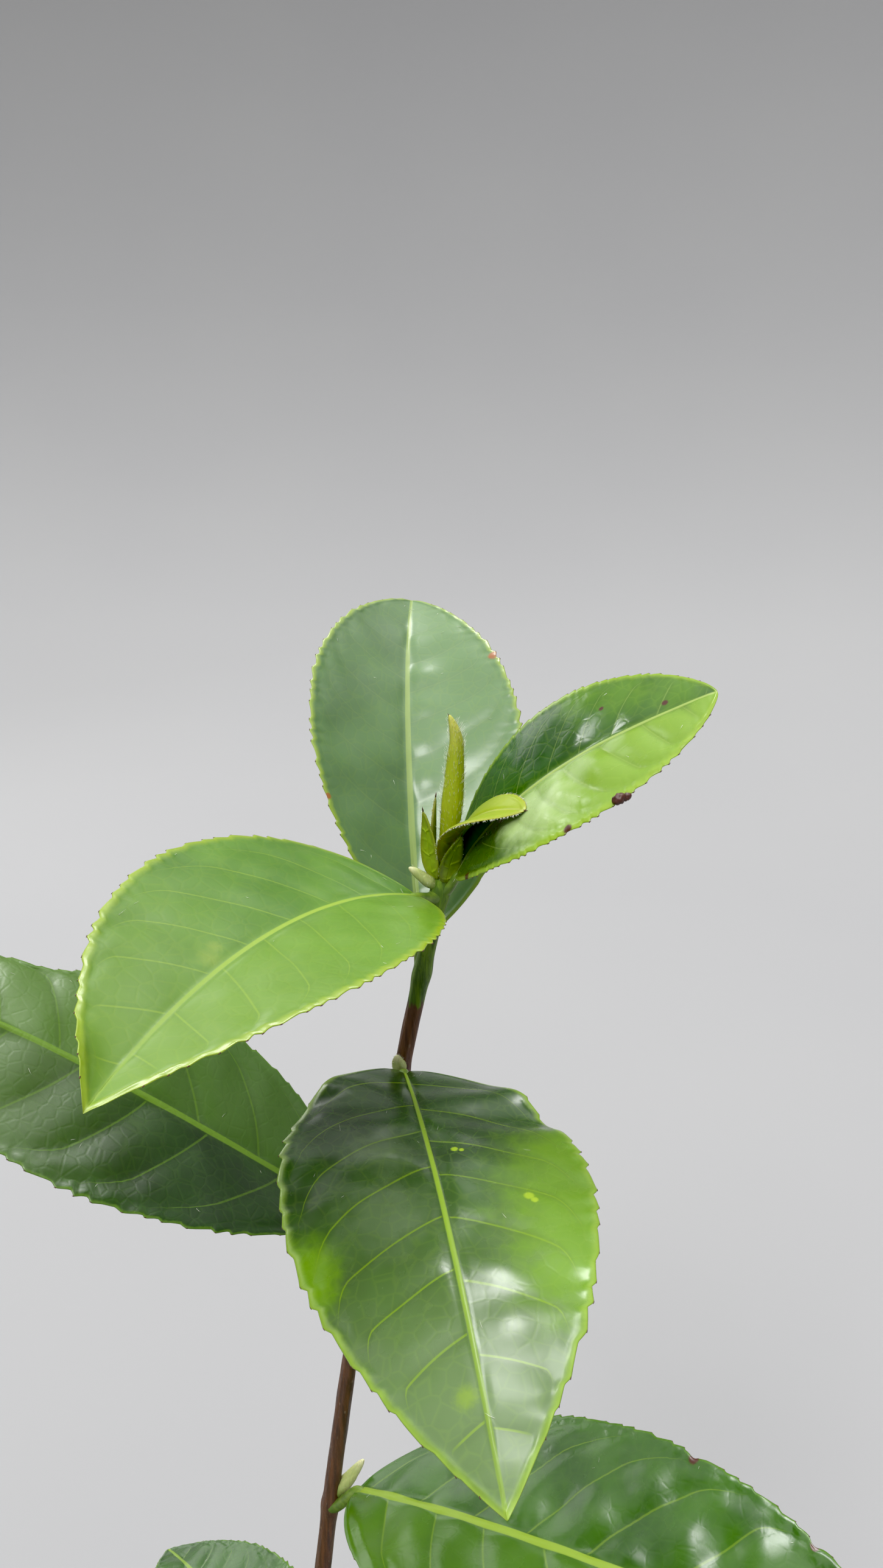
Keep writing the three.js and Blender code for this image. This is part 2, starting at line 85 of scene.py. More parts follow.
STEM_MOUND = 0.9
MOUND_REACH = 14
CHIP_COUNT = 2600
CHIP_SIZES = (0.7, 2.4)
CHIP_FORM = (1, 0.55, 0.35)
PERLITE_COUNT = 170
PERLITE_SIZES = (0.7, 1.6)
PERLITE_FORM = (1, 0.85, 0.75)
GRAIN_SEED = 51
GRAINS_IN = 0.8
FIBRE_COUNT = 150
FIBRE_STEPS = 9
FIBRE_SIDES = 6
FIBRE_LENGTHS = (4, 11)
FIBRE_RADII = (0.09, 0.2)
FIBRE_REACH = 50
FIBRE_SEED = 53

# Stem.
STEM_FOOT = 108
STEM_TOP = 370.6
STEM_LEAN = 31.6
STEM_BOW = 1.78
STEM_FOOT_RADIUS = 2.65
STEM_TOP_RADIUS = 1.45
FLARE_RADIUS = 1.4
FLARE_HEIGHT = 7
NODE_SWELL = 0.3
NODE_SPREAD = 2.2
TIP_TAPER = 3
TIP_LOSS = 0.25
STEM_SIDES = 40
STEM_RINGS = 420
STEM_SUNK = 2.5
STEM_RIDGE = 0.3
STEM_RIDGE_WIDTH = 0.5
STEM_RIDGE_LENGTH = 7
BARK_TO = 346
YOUNG_BARK_FROM = 325
OLD_BARK_TO = 285
BARK_RELIEF = 0.05
GREEN_RELIEF = 0.03
BARK_SEED = 5

# Leaf blades and stalks. Shares are of the blade's length, the half width or a tooth's pitch. Ridge and
# channel run along the midrib and are shares of its half width, but for the channel's depth. A blade has
# two hands, and margins are the outermost column of each with the column beside it.
BLADE_ROWS = 320
SMALL_ROWS = 150
TOP_COLUMNS = 24
UNDER_COLUMNS = 12
END_SHARE = 0.0012
MIDLINE_POINTS = 401
MIDLINE_STEP = 0.2
BEND_ROUNDING = 1.4
BLADE_THICKNESS = 0.34
RIM_BULGE = 0.1
RIM_RISE = 0.1
RIM_IN = 0.7
RIM_SPREAD = 0.4
CRIMP_REACH = 1.6
CRIMP_FROM = 0.2
CRIMP_FULL = 0.45
QUILT_WAVE = 26
QUILT_MEAN = 0.65
QUILT_RANGE = 0.4
RIPPLE_WAVE = 11
RIDGE_HEIGHT = 0.3
RIDGE_WIDTH = 0.8
CHANNEL_DEPTH = 0.06
CHANNEL_AWAY = 1.8
CHANNEL_WIDTH = 1.4
VEIN_RELIEF = 0.16
VEIN_WIDTH = 0.05
TOOTHED_FROM = 0.09
TOOTHED_TO = 0.975
TOOTH_LEAN = 0.8
TOOTH_RISE = 1.3
TOOTH_FALL = 0.8
TOOTH_UNEVEN = 0.3
PITCH_UNEVEN = 0.22
TEETH_TO_FULL = 4
STALK_FOOT = 1.05
STALK_TOP = 0.9
RIB_END_RADIUS = 0.22
RIB_END = 0.97
RIB_SUNK = 0.06
COLLAR = 0.4
COLLAR_LENGTH = 1.3
FLATTENED = 0.22
TUBE_SIDES = 18
TUBE_RINGS = 150
HANDS = (1, -1)
MARGINS = ((-1, -2), (0, 1))

# How ragged the edges of marks on a blade are, as shares of their radius.
PATCH_RAGGED = 0.75
SPOT_RAGGED = 0.35

# Secondary veins: how they curve towards the tip and loop near the margin.
VEIN_CURVE = 0.3
VEIN_LOOP = 4.6
LOOP_FROM = 0.7

# Stage and light, in metres: a floor that curves up into a wall all round, under a surround that is brightest
# overhead. A lamp is (where it stands seen from the plant, how wide it looks in degrees, its light). The one
# at the back left has a radius instead of degrees, and stands at a distance.
FLOOR_REACH = 1.0
COVE_RADIUS = 1.8
WALL_TOP = 2.0
LOW_LIGHT = 0.34
HIGH_LIGHT = 1.85
LIGHT_FROM = 0.45
OVERHEAD = ((0.04, 0.36, 0.93), 19, 1.6)
FRONT = ((-0.28, -0.6, 0.75), 20, 1.75)
LEFT = ((-0.62, 0.48, 0.62), 6, 0.13)
BACK_LEFT = ((-0.5, 0.8, 0.33), 0.4, 3.2)
BACK_LEFT_AWAY = 1.4
STAGE_SIDES = 128
BLACK_LEVEL = 0.005
WHITE_LEVEL = 0.92

# The leaves, by the same rule and the same sizes as their solids. Angles are in degrees. The callus is a
# healed place on one margin, made of knobs: (how far ahead along it, how far out of the blade, length, width).
LEAVES = {
    "leaf_right": dict(
        height=366.7, petiole=3.7, stalk=0.9, heading=-33, turn=21, rise=(63, 38, 25), roll=(-35, -28),
        length=53.5, width=31.5, fold=(13, 3), cup=-9, base=0.7, tip=0.71),
    "leaf_left_front": dict(
        height=365.8, petiole=4.2, stalk=0.95, heading=228, turn=31, rise=(21, -1, -5), roll=(10, 16),
        length=76.5, width=41, fold=(9, 16), cup=1, base=0.72, tip=1.06),
    "leaf_back": dict(
        height=351.5, petiole=5, stalk=1.0, heading=99, turn=-12, rise=(60, 47, 24), roll=(-13, -9),
        length=75.5, width=42, fold=(24, 15), cup=9, base=0.76, tip=0.81),
    "leaf_centre_front": dict(
        height=331.5, petiole=5, stalk=1.0, stalk_rise=54, heading=280, turn=-1, rise=(11, -4, -16),
        roll=(10, -16), length=81.5, width=44, fold=(9, -11), cup=-6, base=0.71, tip=1.04),
    "leaf_far_left": dict(
        height=301, petiole=4.7, stalk=1.1, heading=190, turn=-5, rise=(41, 36, 26), roll=(14, 28),
        length=98, width=44, fold=(21, -16), cup=-5, base=0.67, tip=0.87),
    "leaf_low_right": dict(
        height=235.5, petiole=9.8, stalk=1.2, stalk_rise=56, heading=323, turn=11, rise=(26, 12, 1),
        roll=(1, -14), length=106, width=48, fold=(7, 7), cup=2, base=0.69, tip=0.84),
    "leaf_low_front": dict(
        height=198, petiole=6, stalk=1.2, stalk_rise=50, heading=235, turn=12, rise=(20, -4, -26),
        roll=(-4, 9), length=86, width=43, fold=(9, 3), cup=2, base=0.7, tip=0.95),
    "leaf_low_back": dict(
        height=160, petiole=5, stalk=1.1, stalk_rise=36, heading=130, turn=3, rise=(30, 0, -25),
        roll=(5, -8), length=60, width=35, fold=(10, 4), cup=3, base=0.7, tip=0.9),
    "leaf_lower_side": dict(
        height=147, petiole=5.5, stalk=1.1, stalk_rise=46, heading=36, turn=-8, rise=(30, 8, -20),
        roll=(3, -10), length=76, width=38, fold=(10, 5), cup=2, base=0.7, tip=0.9),
    "leaf_lowest": dict(
        height=134.5, petiole=5, stalk=1.0, stalk_rise=44, heading=204, turn=10, rise=(30, 14, -14),
        roll=(-5, 6), length=64, width=33, fold=(12, 6), cup=2, base=0.7, tip=0.9),
}
TIP_LEAVES = {
    "young_leaf": dict(
        height=369.5, petiole=1.6, stalk=0.6, heading=-47, turn=-2, rise=(90, 35, 9), roll=(-9, -23),
        length=23.8, width=10, fold=(22, 10), cup=-9, base=0.64, tip=0.68),
    "scale_left": dict(
        height=368.6, petiole=0.2, heading=216, turn=-2, rise=(76, 82, 71), roll=(-12, -3),
        length=13, width=4, fold=(-18, -3), cup=4, base=0.58, tip=1),
    "scale_right": dict(
        height=368, petiole=0.4, heading=-66, turn=4, rise=(80, 58, 55), roll=(5, 5),
        length=11.8, width=3.6, fold=(-16, -7), cup=3, base=0.6, tip=1),
    "scale_back": dict(
        height=369, petiole=0.2, heading=160, turn=0, rise=(88, 90, 96), roll=(0, 0),
        length=14, width=2.6, fold=(-14, -4), cup=4, base=0.6, tip=1),
}
YOUNG_LEAVES = ("leaf_right", "leaf_left_front")
CALLUS_LEAF = "leaf_right"
CALLUS_PLACE = 0.683
CALLUS_KNOBS = ((0, 0.3, 2.2, 1.5), (1, -0.1, 1.6, 1.1))
CALLUS_SEED = 91

# Buds and hairs. A scale that wraps a bud is (heading, end, spread, height), and on the axil buds its height
# is a share of their width. Each axil bud is named like its leaf: (length, width, rise, turn from the stalk).
TIP_BUD = dict(length=26, width=3.9, lean=2, bend=0.6, back=0.6, root=0.6, full=0.42)
TIP_SCALES = ((250, 1.25, 70, 0.16), (60, 1.1, 60, 0.1))
TIP_CURL = 1.3
CURL_FROM = 0.82
TIP_RINGS = 140
TIP_SIDES = 48
TIP_HAIRS = 620
TIP_HAIR_LENGTH = 0.95
TIP_SEED = 7
AXIL_BUDS = {
    "left_front": (6, 2.0, 40, -32), "centre_front": (4.4, 2.4, 62, -26), "far_left": (6, 2.2, 74, 0),
    "low_right": (10.5, 2.6, 58, 34), "low_back": (8, 2.6, 62, 0), "low_front": (7, 2.4, 64, 0),
    "lower_side": (7, 2.4, 64, 0), "lowest": (6, 2.2, 66, 0),
}
AXIL_SCALES = ((20, 0.55, 100, 0.05), (200, 0.72, 110, 0.04), (110, 0.92, 80, 0.03))
AXIL_SUNK = 0.5
AXIL_RINGS = 70
AXIL_SIDES = 36
AXIL_HAIRS = 40
AXIL_HAIR_LENGTH = 0.45
AXIL_SEED = 40
BUD_END = 0.9995
BUD_HAIR_RADIUS = 0.026
FRINGE_RADIUS = 0.028
FRINGE_SEED = 60
STRAY_RADIUS = 0.022
STRAY_HAIRS = 14
STRAY_SEED = 80
HAIR_SIDES = 3
GLAND_LENGTH = 0.4
GLAND_RADIUS = 0.1
GLAND_SIDES = 6
POINT_SIDES = 8

# Colours of marks on the blades, and of painted sheen, glare and shade.
BRIGHT = (0.1, 0.21, 0)
LIME = (0.24, 0.35, 0.008)
FAINT = (0.12, 0.2, 0.015)
OLIVE = (0.055, 0.14, 0)
# A painted sheen: a grey-green lightening that stands in for a glossy blade's reflection.
PAINTED_SHEEN = (0.075, 0.12, 0.05)
# A painted shade.
SHADED = (0.03, 0.075, 0.001)
# A painted glare: a pale lightening that stands in for the shine of a glossy blade.
PAINTED_GLARE = (0.28, 0.38, 0.15)
BROWN = (0.05, 0.01, 0.003)
RUST = (0.24, 0.08, 0.012)

# How each leaf's surface looks. A blade has a hand 1 and a hand -1, to the right and the left of the midrib
# when its top is seen with the tip upward, and starts and quilt give the value of each in that order. Teeth
# and vein pairs are counts, tooth is a tooth's depth, and depths and heights are in millimetres. Starts are
# the shares of the blade where its veins begin, and sweep is how far a vein runs forward for each step out.
# Quilt is how far the blade bulges between its veins, ripple how far it rolls, crimp how far its margin
# goes up and down with the teeth. Rib is the midrib's half width at the base, the middle and the tip, and
# rib_fade is the share of its colour that it loses towards the tip. Rough is the roughness, far_rough that
# of hand -1, and tip_rough is added at the tip. Coat is the gloss over it, net the relief of the smallest
# veins and line how pale the larger ones are. Deep and mid mottle the blade, edge colours its margin for
# edge_width, and under is the underside. The lit half's tint is (hand, share, colour) for the lighter half
# of a blade: partly its own colour and partly painted light, on the half that catches more light. Tipward
# is (share, colour) for its outer end. A wave bends the margin on one hand, up or down, round one place of
# the blade: (place, hand, spread, height). A nick cuts into it: (place, hand, width, depth). A bulge is
# (along, across, radius, height) and a patch or a spot is (along, across, radius, colour), with along a
# share of the length and across a share of the half width.
LOOKS = {
    "leaf_right": dict(
        teeth=26, tooth=0.42, pairs=8, sweep=0.4, starts=(0.03, 0.08), quilt=(0.35, 0.05), ripple=0.08,
        crimp=0.04, seed=3, rib=(0.4, 0.32, 0.18), rib_colour=(0.25, 0.34, 0.07), rough=0.25, far_rough=0.15,
        coat=0, net=0.1, line=0.25,
        deep=(0.004, 0.038, 0), mid=(0.012, 0.068, 0), edge=(0.21, 0.32, 0.02), edge_width=1.6,
        lit_half_tint=(1, 0.9, (0.17, 0.29, 0.02)), tipward=(0.2, (0.1, 0.2, 0.004)),
        bulges=((0.634, 0.35, 3.6, 0.6), (0.5, 0.4, 3.2, 0.6), (0.446, 0.65, 3.4, 0.5), (0.3, 0.5, 3.5, 0.5)),
        patches=((0.75, -0.7, 4.5, OLIVE), (0.62, -0.84, 3.6, OLIVE), (0.9, -0.55, 4, OLIVE),
                 # The next two patches are painted shade at the base of hand 1, the two pale ones after them
                 # are painted glare, and the last one is painted light on hand -1 where the young leaf casts
                 # its shadow.
                 (0.13, 0.5, 11, SHADED), (0.24, 0.85, 7, SHADED),
                 (0.44, 0.5, 5.5, PAINTED_GLARE), (0.36, 0.4, 3.4, PAINTED_GLARE), (0.08, -0.4, 5, OLIVE)),
        spots=((0.673, -0.5, 0.4, BROWN), (0.856, -0.225, 0.5, BROWN), (0.531, 0.97, 0.7, BROWN),
               (0.119, 0.95, 0.8, BROWN))),
    "leaf_left_front": dict(
        teeth=25, tooth=0.52, pairs=8.5, sweep=0.5, starts=(0.044, 0.022), quilt=(0.2, 0.2), ripple=0.08,
        crimp=0.03, seed=5, rib=(0.3, 0.38, 0.2), rib_colour=(0.21, 0.31, 0.02), rib_fade=0.6, rough=0.34,
        coat=0.35, net=0.12, line=0.35,
        deep=(0.045, 0.125, 0.006), mid=(0.075, 0.175, 0.009), edge=(0.2, 0.28, 0.01), edge_width=1.5,
        lit_half_tint=(-1, 0.6, (0.11, 0.22, 0.012)), tipward=(0.5, (0.12, 0.205, 0.02)),
        waves=((0.93, 1, 0.05, 1.6),), patches=((0.6, 0.12, 1.3, FAINT), (0.57, 0.16, 0.9, FAINT))),
    "leaf_back": dict(
        teeth=27, tooth=0.5, pairs=9.6, sweep=0.25, starts=(0.01, 0.05), quilt=(0.22, 0.22), ripple=0.12,
        seed=8, rib=(0.7, 0.6, 0.3), rib_colour=(0.2, 0.28, 0.07), rough=0.36, coat=0.38, net=0.12, line=0.12,
        # Its grey-green deep and mid are partly its own colour, partly painted sheen.
        deep=(0.07, 0.13, 0.05), mid=(0.085, 0.16, 0.055), edge=(0.2, 0.28, 0.02), edge_width=1.1,
        lit_half_tint=(1, 0.6, (0.09, 0.18, 0.05)),
        bulges=[(place, 0.16, 2.6, 0.3) for place in (0.38, 0.48, 0.59, 0.69)],
        spots=((0.721, 0.97, 0.9, RUST), (0.3, -0.99, 0.5, RUST))),
    "leaf_centre_front": dict(
        teeth=18, tooth=0.6, pairs=8.8, sweep=0.3, starts=(0.06, 0.08), quilt=(0.16, 0.16), ripple=0.16,
        crimp=0.12, seed=11, rib=(0.24, 0.34, 0.22), rib_colour=(0.19, 0.31, 0.001), rib_fade=0.5, rough=0.24,
        tip_rough=0.25, coat=0.25, net=0.1, line=0.45,
        deep=(0.011, 0.034, 0.003), mid=(0.02, 0.064, 0.003), edge=(0.19, 0.3, 0.03),
        # Its tipward colour is greyed: part the blade's own colour, part painted sheen.
        edge_width=1.3, tipward=(0.85, (0.09, 0.15, 0.045)),
        waves=((0.17, -1, 0.045, 1.3), (0.25, -1, 0.04, -1.6), (0.2, 1, 0.06, -1.4), (0.12, 1, 0.04, 1.0)),
        bulges=((0.64, -0.28, 3.6, 0.5), (0.74, -0.36, 3.4, 0.45), (0.45, 0.3, 4.5, 0.35),
                (0.36, 0.3, 4, 0.3)),
        # Two greyish patches on hand 1 are painted sheen.
        patches=((0.4, -0.9, 8, BRIGHT), (0.53, -0.85, 9, BRIGHT), (0.66, -0.95, 8, BRIGHT),
                 (0.555, 0.93, 3.6, BRIGHT), (0.6, 1.0, 3.4, BRIGHT), (0.49, 0.36, 5.5, PAINTED_SHEEN),
                 (0.34, 0.32, 4, PAINTED_SHEEN), (0.833, 0.2, 1.2, FAINT)),
        spots=((0.345, -0.17, 0.5, LIME), (0.35, -0.215, 0.35, LIME), (0.49, -0.56, 0.7, LIME),
               (0.502, -0.59, 0.5, LIME))),
    "leaf_far_left": dict(
        teeth=24, tooth=0.6, pairs=7.6, sweep=0.45, starts=(0.067, 0.029), quilt=(0.7, 0.7), ripple=0.15,
        seed=14, rib=(0.6, 0.6, 0.35), rib_colour=(0.09, 0.18, 0.005), rough=0.36, coat=0.15,
        net=0.3, line=0.4,
        # Its deep and mid are very dark: partly its own colour, partly painted shade where the leaf lies in
        # shadow.
        deep=(0.005, 0.019, 0.001), mid=(0.01, 0.035, 0.002), edge=(0.07, 0.14, 0.01), edge_width=0.5,
        lit_half_tint=(1, 0.7, (0.055, 0.12, 0.014)), tipward=(0.8, (0.08, 0.15, 0.025)),
        nicks=((0.69, 1, 7, 1.8),)),
    "leaf_low_right": dict(
        teeth=28, tooth=0.45, pairs=8.3, sweep=0.6, starts=(0.069, 0.024), quilt=(0.75, 0.75), ripple=0.22,
        seed=17, rib=(0.75, 0.7, 0.35), rib_colour=(0.19, 0.29, 0.01), rough=0.23, coat=0.12,
        net=0.12, line=0.3,
        deep=(0.014, 0.055, 0.001), mid=(0.03, 0.095, 0.002), edge=(0.06, 0.14, 0.005), edge_width=0.6,
        lit_half_tint=(1, 0.5, (0.06, 0.15, 0.002)),
        nicks=((0.609, -1, 1.2, 0.9), (0.816, -1, 1.0, 0.7)), patches=((0.14, 0.75, 9, OLIVE),),
        spots=((0.609, -0.985, 0.9, BROWN), (0.816, -0.985, 0.7, BROWN))),
    "leaf_low_front": dict(seed=20),
    "leaf_low_back": dict(seed=23),
    "leaf_lower_side": dict(seed=26),
    "leaf_lowest": dict(seed=29),
}
PLAIN_LOOK = dict(
    teeth=24, tooth=0.5, pairs=8.4, sweep=0.45, starts=(0.03, 0.08), quilt=(0.5, 0.5), ripple=0.18,
    crimp=0.07, thickness=BLADE_THICKNESS, rib=(0.6, 0.55, 0.25), rib_colour=(0.14, 0.23, 0.012), rib_fade=0,
    rough=0.26, far_rough=None, tip_rough=0, coat=0.5, net=0.25, line=0.25, under=(0.13, 0.22, 0.06),
    deep=(0.012, 0.046, 0.003), mid=(0.026, 0.082, 0.005), edge=(0.08, 0.17, 0.01), edge_width=0.6,
    lit_half_tint=(1, 0, BRIGHT), tipward=(0, BRIGHT), bulges=(), waves=(), nicks=(), patches=(), spots=())
SCALE_LOOK = dict(
    teeth=10, tooth=0, pairs=3, quilt=(0, 0), ripple=0.02, crimp=0, thickness=0.45, fringe=30,
    fringe_length=0.3, rib=(0.1, 0.1, 0.05), line=0, coat=0, edge_width=0.4)

# The looks of the growing tip's leaf and scales, with the number of hairs on each margin and their length.
TIP_LOOKS = {
    "young_leaf": dict(
        teeth=30, tooth=0.22, pairs=7, quilt=(0.03, 0.03), ripple=0.04, crimp=0, seed=33, thickness=0.3,
        fringe=190, fringe_length=0.55, rib=(0.3, 0.24, 0.15), rib_colour=(0.27, 0.31, 0.06), rough=0.36,
        # Its underside is made light: partly its own colour, partly painted light that stands in for light
        # through the thin blade.
        coat=0, net=0.08, line=0.1, under=(0.24, 0.33, 0.003), deep=(0.17, 0.235, 0.002),
        mid=(0.22, 0.29, 0.004), edge=(0.27, 0.28, 0.02), edge_width=0.4),
    "scale_left": {
        **SCALE_LOOK, "seed": 35, "under": (0.18, 0.26, 0.001), "deep": (0.13, 0.21, 0.001),
        "mid": (0.19, 0.27, 0.002), "edge": (0.17, 0.2, 0.006)},
    "scale_right": {
        **SCALE_LOOK, "seed": 36, "under": (0.19, 0.27, 0.002), "deep": (0.09, 0.17, 0.001),
        "mid": (0.15, 0.23, 0.002), "edge": (0.13, 0.17, 0.006)},
    "scale_back": {
        **SCALE_LOOK, "seed": 37, "thickness": 0.4, "fringe": 110, "fringe_length": 0.55,
        "under": (0.27, 0.34, 0.01), "deep": (0.12, 0.17, 0.01), "mid": (0.2, 0.24, 0.02),
        "edge": (0.28, 0.28, 0.06)},
}


# Small helpers.

def lerp(a, b, t):
    return a + (b - a) * t


def smooth_step(low, high, x):
    t = np.clip((x - low) / (high - low), 0, 1)
    return t * t * (3 - 2 * t)


def through(values, u):
    """A quadratic through three values at the start, the middle and the end of a 0 to 1 run."""
    start, middle, end = values
    return start * (2 * u - 1) * (u - 1) + middle * 4 * u * (1 - u) + end * u * (2 * u - 1)


def direction(heading, rise):
    """A unit vector from its heading and its rise, in radians."""
    heading, rise = np.broadcast_arrays(np.asarray(heading, float), np.asarray(rise, float))
    flat = np.cos(rise)
    return np.stack([flat * np.cos(heading), flat * np.sin(heading), np.sin(rise)], axis=-1)


def unit(vectors):
    return vectors / np.maximum(np.linalg.norm(vectors, axis=-1, keepdims=True), 1e-12)


def bell(x, width):
    """1 where x is 0, and near 0 beyond twice the width."""
    return np.exp(-(x / width) ** 2)


def turns(count):
    """Evenly spaced angles round a circle."""
    return 2 * math.pi * np.arange(count) / count


def nearest_turn(angle):
    """An angle brought to within half a turn of 0."""
    return (angle + math.pi) % (2 * math.pi) - math.pi


def along_line(at, places, points):
    """Points read off a line of points at some of its places."""
    return np.stack([np.interp(at, places, points[:, k]) for k in range(3)], axis=1)


def spokes(along, guide, angle):
    """Unit vectors square to one direction or more, at each angle round it from the guide."""
    across = unit(np.cross(guide, along))[..., None, :]
    other = np.cross(along, across[..., 0, :])[..., None, :]
    return across * np.cos(angle)[..., None] + other * np.sin(angle)[..., None]


def ripple(x, y, wavelength, seed):
    """Smooth uneven waves over a plane, from about -1 to 1."""
    draw = np.random.default_rng(seed)
    total = 0
    for _ in range(7):
        turn = draw.uniform(0, 2 * math.pi)
        pitch = 2 * math.pi / (wavelength * draw.uniform(0.7, 1.6))
        total = total + np.sin(pitch * (x * math.cos(turn) + y * math.sin(turn)) + draw.uniform(0, 6.28))
    return total / 3


def loft_faces(rings, count, first):
    """Quads between rings of equal count, numbered from first."""
    i, j = np.meshgrid(np.arange(rings - 1), np.arange(count), indexing="ij")
    a = first + i * count + j
    b = first + i * count + (j + 1) % count
    return np.stack([a, b, b + count, a + count], axis=-1).reshape(-1, 4).tolist()


def fan_faces(ring_start, count, apex, forward):
    """Triangles from an apex to a ring: forward where the apex lies past the last ring."""
    pairs = [(ring_start + j, ring_start + (j + 1) % count) for j in range(count)]
    return [(a, b, apex) if forward else (b, a, apex) for a, b in pairs]


class Shape:
    """Points, faces, the material of each face and the fields of each point, gathered for one mesh."""

    def __init__(self):
        self.points = []
        self.faces = []
        self.slots = []
        self.fields = {}
        self.count = 0

    def add(self, points, faces, slots=0, **fields):
        points = np.asarray(points, float).reshape(-1, 3)
        self.points.append(points)
        self.faces.extend(faces)
        self.slots.extend([slots] * len(faces) if isinstance(slots, int) else slots)
        for name, values in fields.items():
            self.fields.setdefault(name, []).append((self.count, np.asarray(values, float)))
        self.count += len(points)

    def skin(self, rings, ends, slots=0, **fields):
        """Adds a closed skin over rings of equal count, drawn in to an end point at each end."""
        count = rings.shape[1]
        total = len(rings) * count
        faces = loft_faces(len(rings), count, self.count)
        faces += fan_faces(self.count, count, self.count + total, False)
        faces += fan_faces(self.count + total - count, count, self.count + total + 1, True)
        self.add(np.vstack([rings.reshape(-1, 3), *ends]), faces, slots, **fields)

    def tube(self, centres, along, radii, sides, slots=0, guide=UP, **fields):
        """Adds a closed skin over round rings. Radii are one a ring, or one for each ring and side."""
        radii = np.broadcast_to(np.asarray(radii, float).reshape(len(centres), -1), (len(centres), sides))
        rings = centres[:, None] + spokes(along, guide, turns(sides)) * radii[..., None]
        self.skin(rings, (centres[0], centres[-1]), slots, **fields)

    def build(self, name, materials, slot, replaces=(), smooth=True):
        """Makes the finished piece: in metres, riding on the body, in place of the solids it replaces."""
        points = np.vstack(self.points)
        mesh = bpy.data.meshes.new(name)
        mesh.from_pydata((points * MM).tolist(), [], self.faces)
        for material in materials:
            mesh.materials.append(material)
        mesh.polygons.foreach_set("material_index", self.slots)
        mesh.polygons.foreach_set("use_smooth", [smooth] * len(self.faces))
        for field, runs in self.fields.items():
            width = 1 if runs[0][1].ndim == 1 else 3
            values = np.zeros((self.count, width))
            for start, run in runs:
                values[start:start + len(run)] = run.reshape(-1, width)
            kind = "FLOAT" if width == 1 else "FLOAT_VECTOR"
            attribute = mesh.attributes.new(field, kind, "POINT")
            attribute.data.foreach_set("value" if width == 1 else "vector", values.astype(np.float32).ravel())
        mesh.validate()
        mesh.update()
        piece = bpy.data.objects.new(name, mesh)
        bpy.context.scene.collection.objects.link(piece)
        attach(piece, BODY)
        if replaces:
            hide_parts(*replaces)
        return piece


# Materials.

class Nodes:
    """A short way to write a material of one Principled shader."""

    def __init__(self, name, roughness=0.5, **sockets):
        self.material = bpy.data.materials.new(name)
        self.material.use_nodes = True
        self.tree = self.material.node_tree
        self.shader = self.tree.nodes["Principled BSDF"]
        self.shader.inputs["Roughness"].default_value = roughness
        for socket, value in sockets.items():
            self.shader.inputs[socket.replace("_", " ")].default_value = value

    def node(self, kind, **settings):
        made = self.tree.nodes.new(kind)
        for key, value in settings.items():
            setattr(made, key, value)
        return made

    def put(self, socket, value):
        if isinstance(value, bpy.types.NodeSocket):
            self.tree.links.new(value, socket)
        elif isinstance(value, tuple) and len(value) == 3 and socket.type == "RGBA":
            socket.default_value = (*value, 1)
        else:
            socket.default_value = value

    def math(self, operation, *values):
        made = self.node("ShaderNodeMath", operation=operation)
        for socket, value in zip(made.inputs, values):
            self.put(socket, value)
        return made.outputs[0]

    def step(self, value, low, high, start=0.0, end=1.0):
        """A smooth step from start to end as the value goes from low to high."""
        made = self.node("ShaderNodeMapRange", interpolation_type="SMOOTHSTEP")
        for socket, one in zip(made.inputs, (value, low, high, start, end)):
            self.put(socket, one)
        return made.outputs[0]

    def mix(self, share, a, b):
        made = self.node("ShaderNodeMix", data_type="RGBA")
        self.put(made.inputs["Factor"], share)
        colours = [socket for socket in made.inputs if socket.type == "RGBA"]
        for socket, value in zip(colours, (a, b)):
            self.put(socket, value)
        return [socket for socket in made.outputs if socket.type == "RGBA"][0]

    def over(self, colour, tint, value, low, high, start=0.0, end=1.0):
        """A colour with a tint over it, by a share that goes from start to end with the value."""
        return self.mix(self.step(value, low, high, start, end), colour, tint)

    def times(self, a, b):
        return self.math("MULTIPLY", a, b)

    def plus(self, a, b):
        return self.math("ADD", a, b)

    def field(self, name, output="Vector"):
        """A field of the mesh: a vector, or with "Fac" a number."""
        return self.node("ShaderNodeAttribute", attribute_name=name).outputs[output]

    def parts(self, vector):
        made = self.node("ShaderNodeSeparateXYZ")
        self.put(made.inputs[0], vector)
        return made.outputs

    def place(self, scale=(1, 1, 1)):
        """The point's place on the object, in millimetres, stretched by scale."""
        made = self.node("ShaderNodeMapping")
        self.put(made.inputs["Vector"], self.node("ShaderNodeTexCoord").outputs["Object"])
        made.inputs["Scale"].default_value = tuple(s / MM for s in scale)
        return made.outputs[0]

    def noise(self, vector, scale, detail=3.0, rough=0.5):
        made = self.node("ShaderNodeTexNoise")
        for name, value in (("Vector", vector), ("Scale", scale), ("Detail", detail), ("Roughness", rough)):
            self.put(made.inputs[name], value)
        return made.outputs["Fac"]

    def cells(self, vector, scale, feature="DISTANCE_TO_EDGE"):
        made = self.node("ShaderNodeTexVoronoi", feature=feature)
        self.put(made.inputs["Vector"], vector)
        self.put(made.inputs["Scale"], scale)
        return made.outputs["Distance"]

    def bump(self, height, distance, strength):
        made = self.node("ShaderNodeBump")
        made.inputs["Strength"].default_value = strength
        made.inputs["Distance"].default_value = distance * MM
        self.put(made.inputs["Height"], height)
        return made.outputs[0]

    def finish(self, colour, roughness=None, normal=None):
        for name, value in (("Base Color", colour), ("Roughness", roughness), ("Normal", normal)):
            if value is not None:
                self.put(self.shader.inputs[name], value)
        return self.material


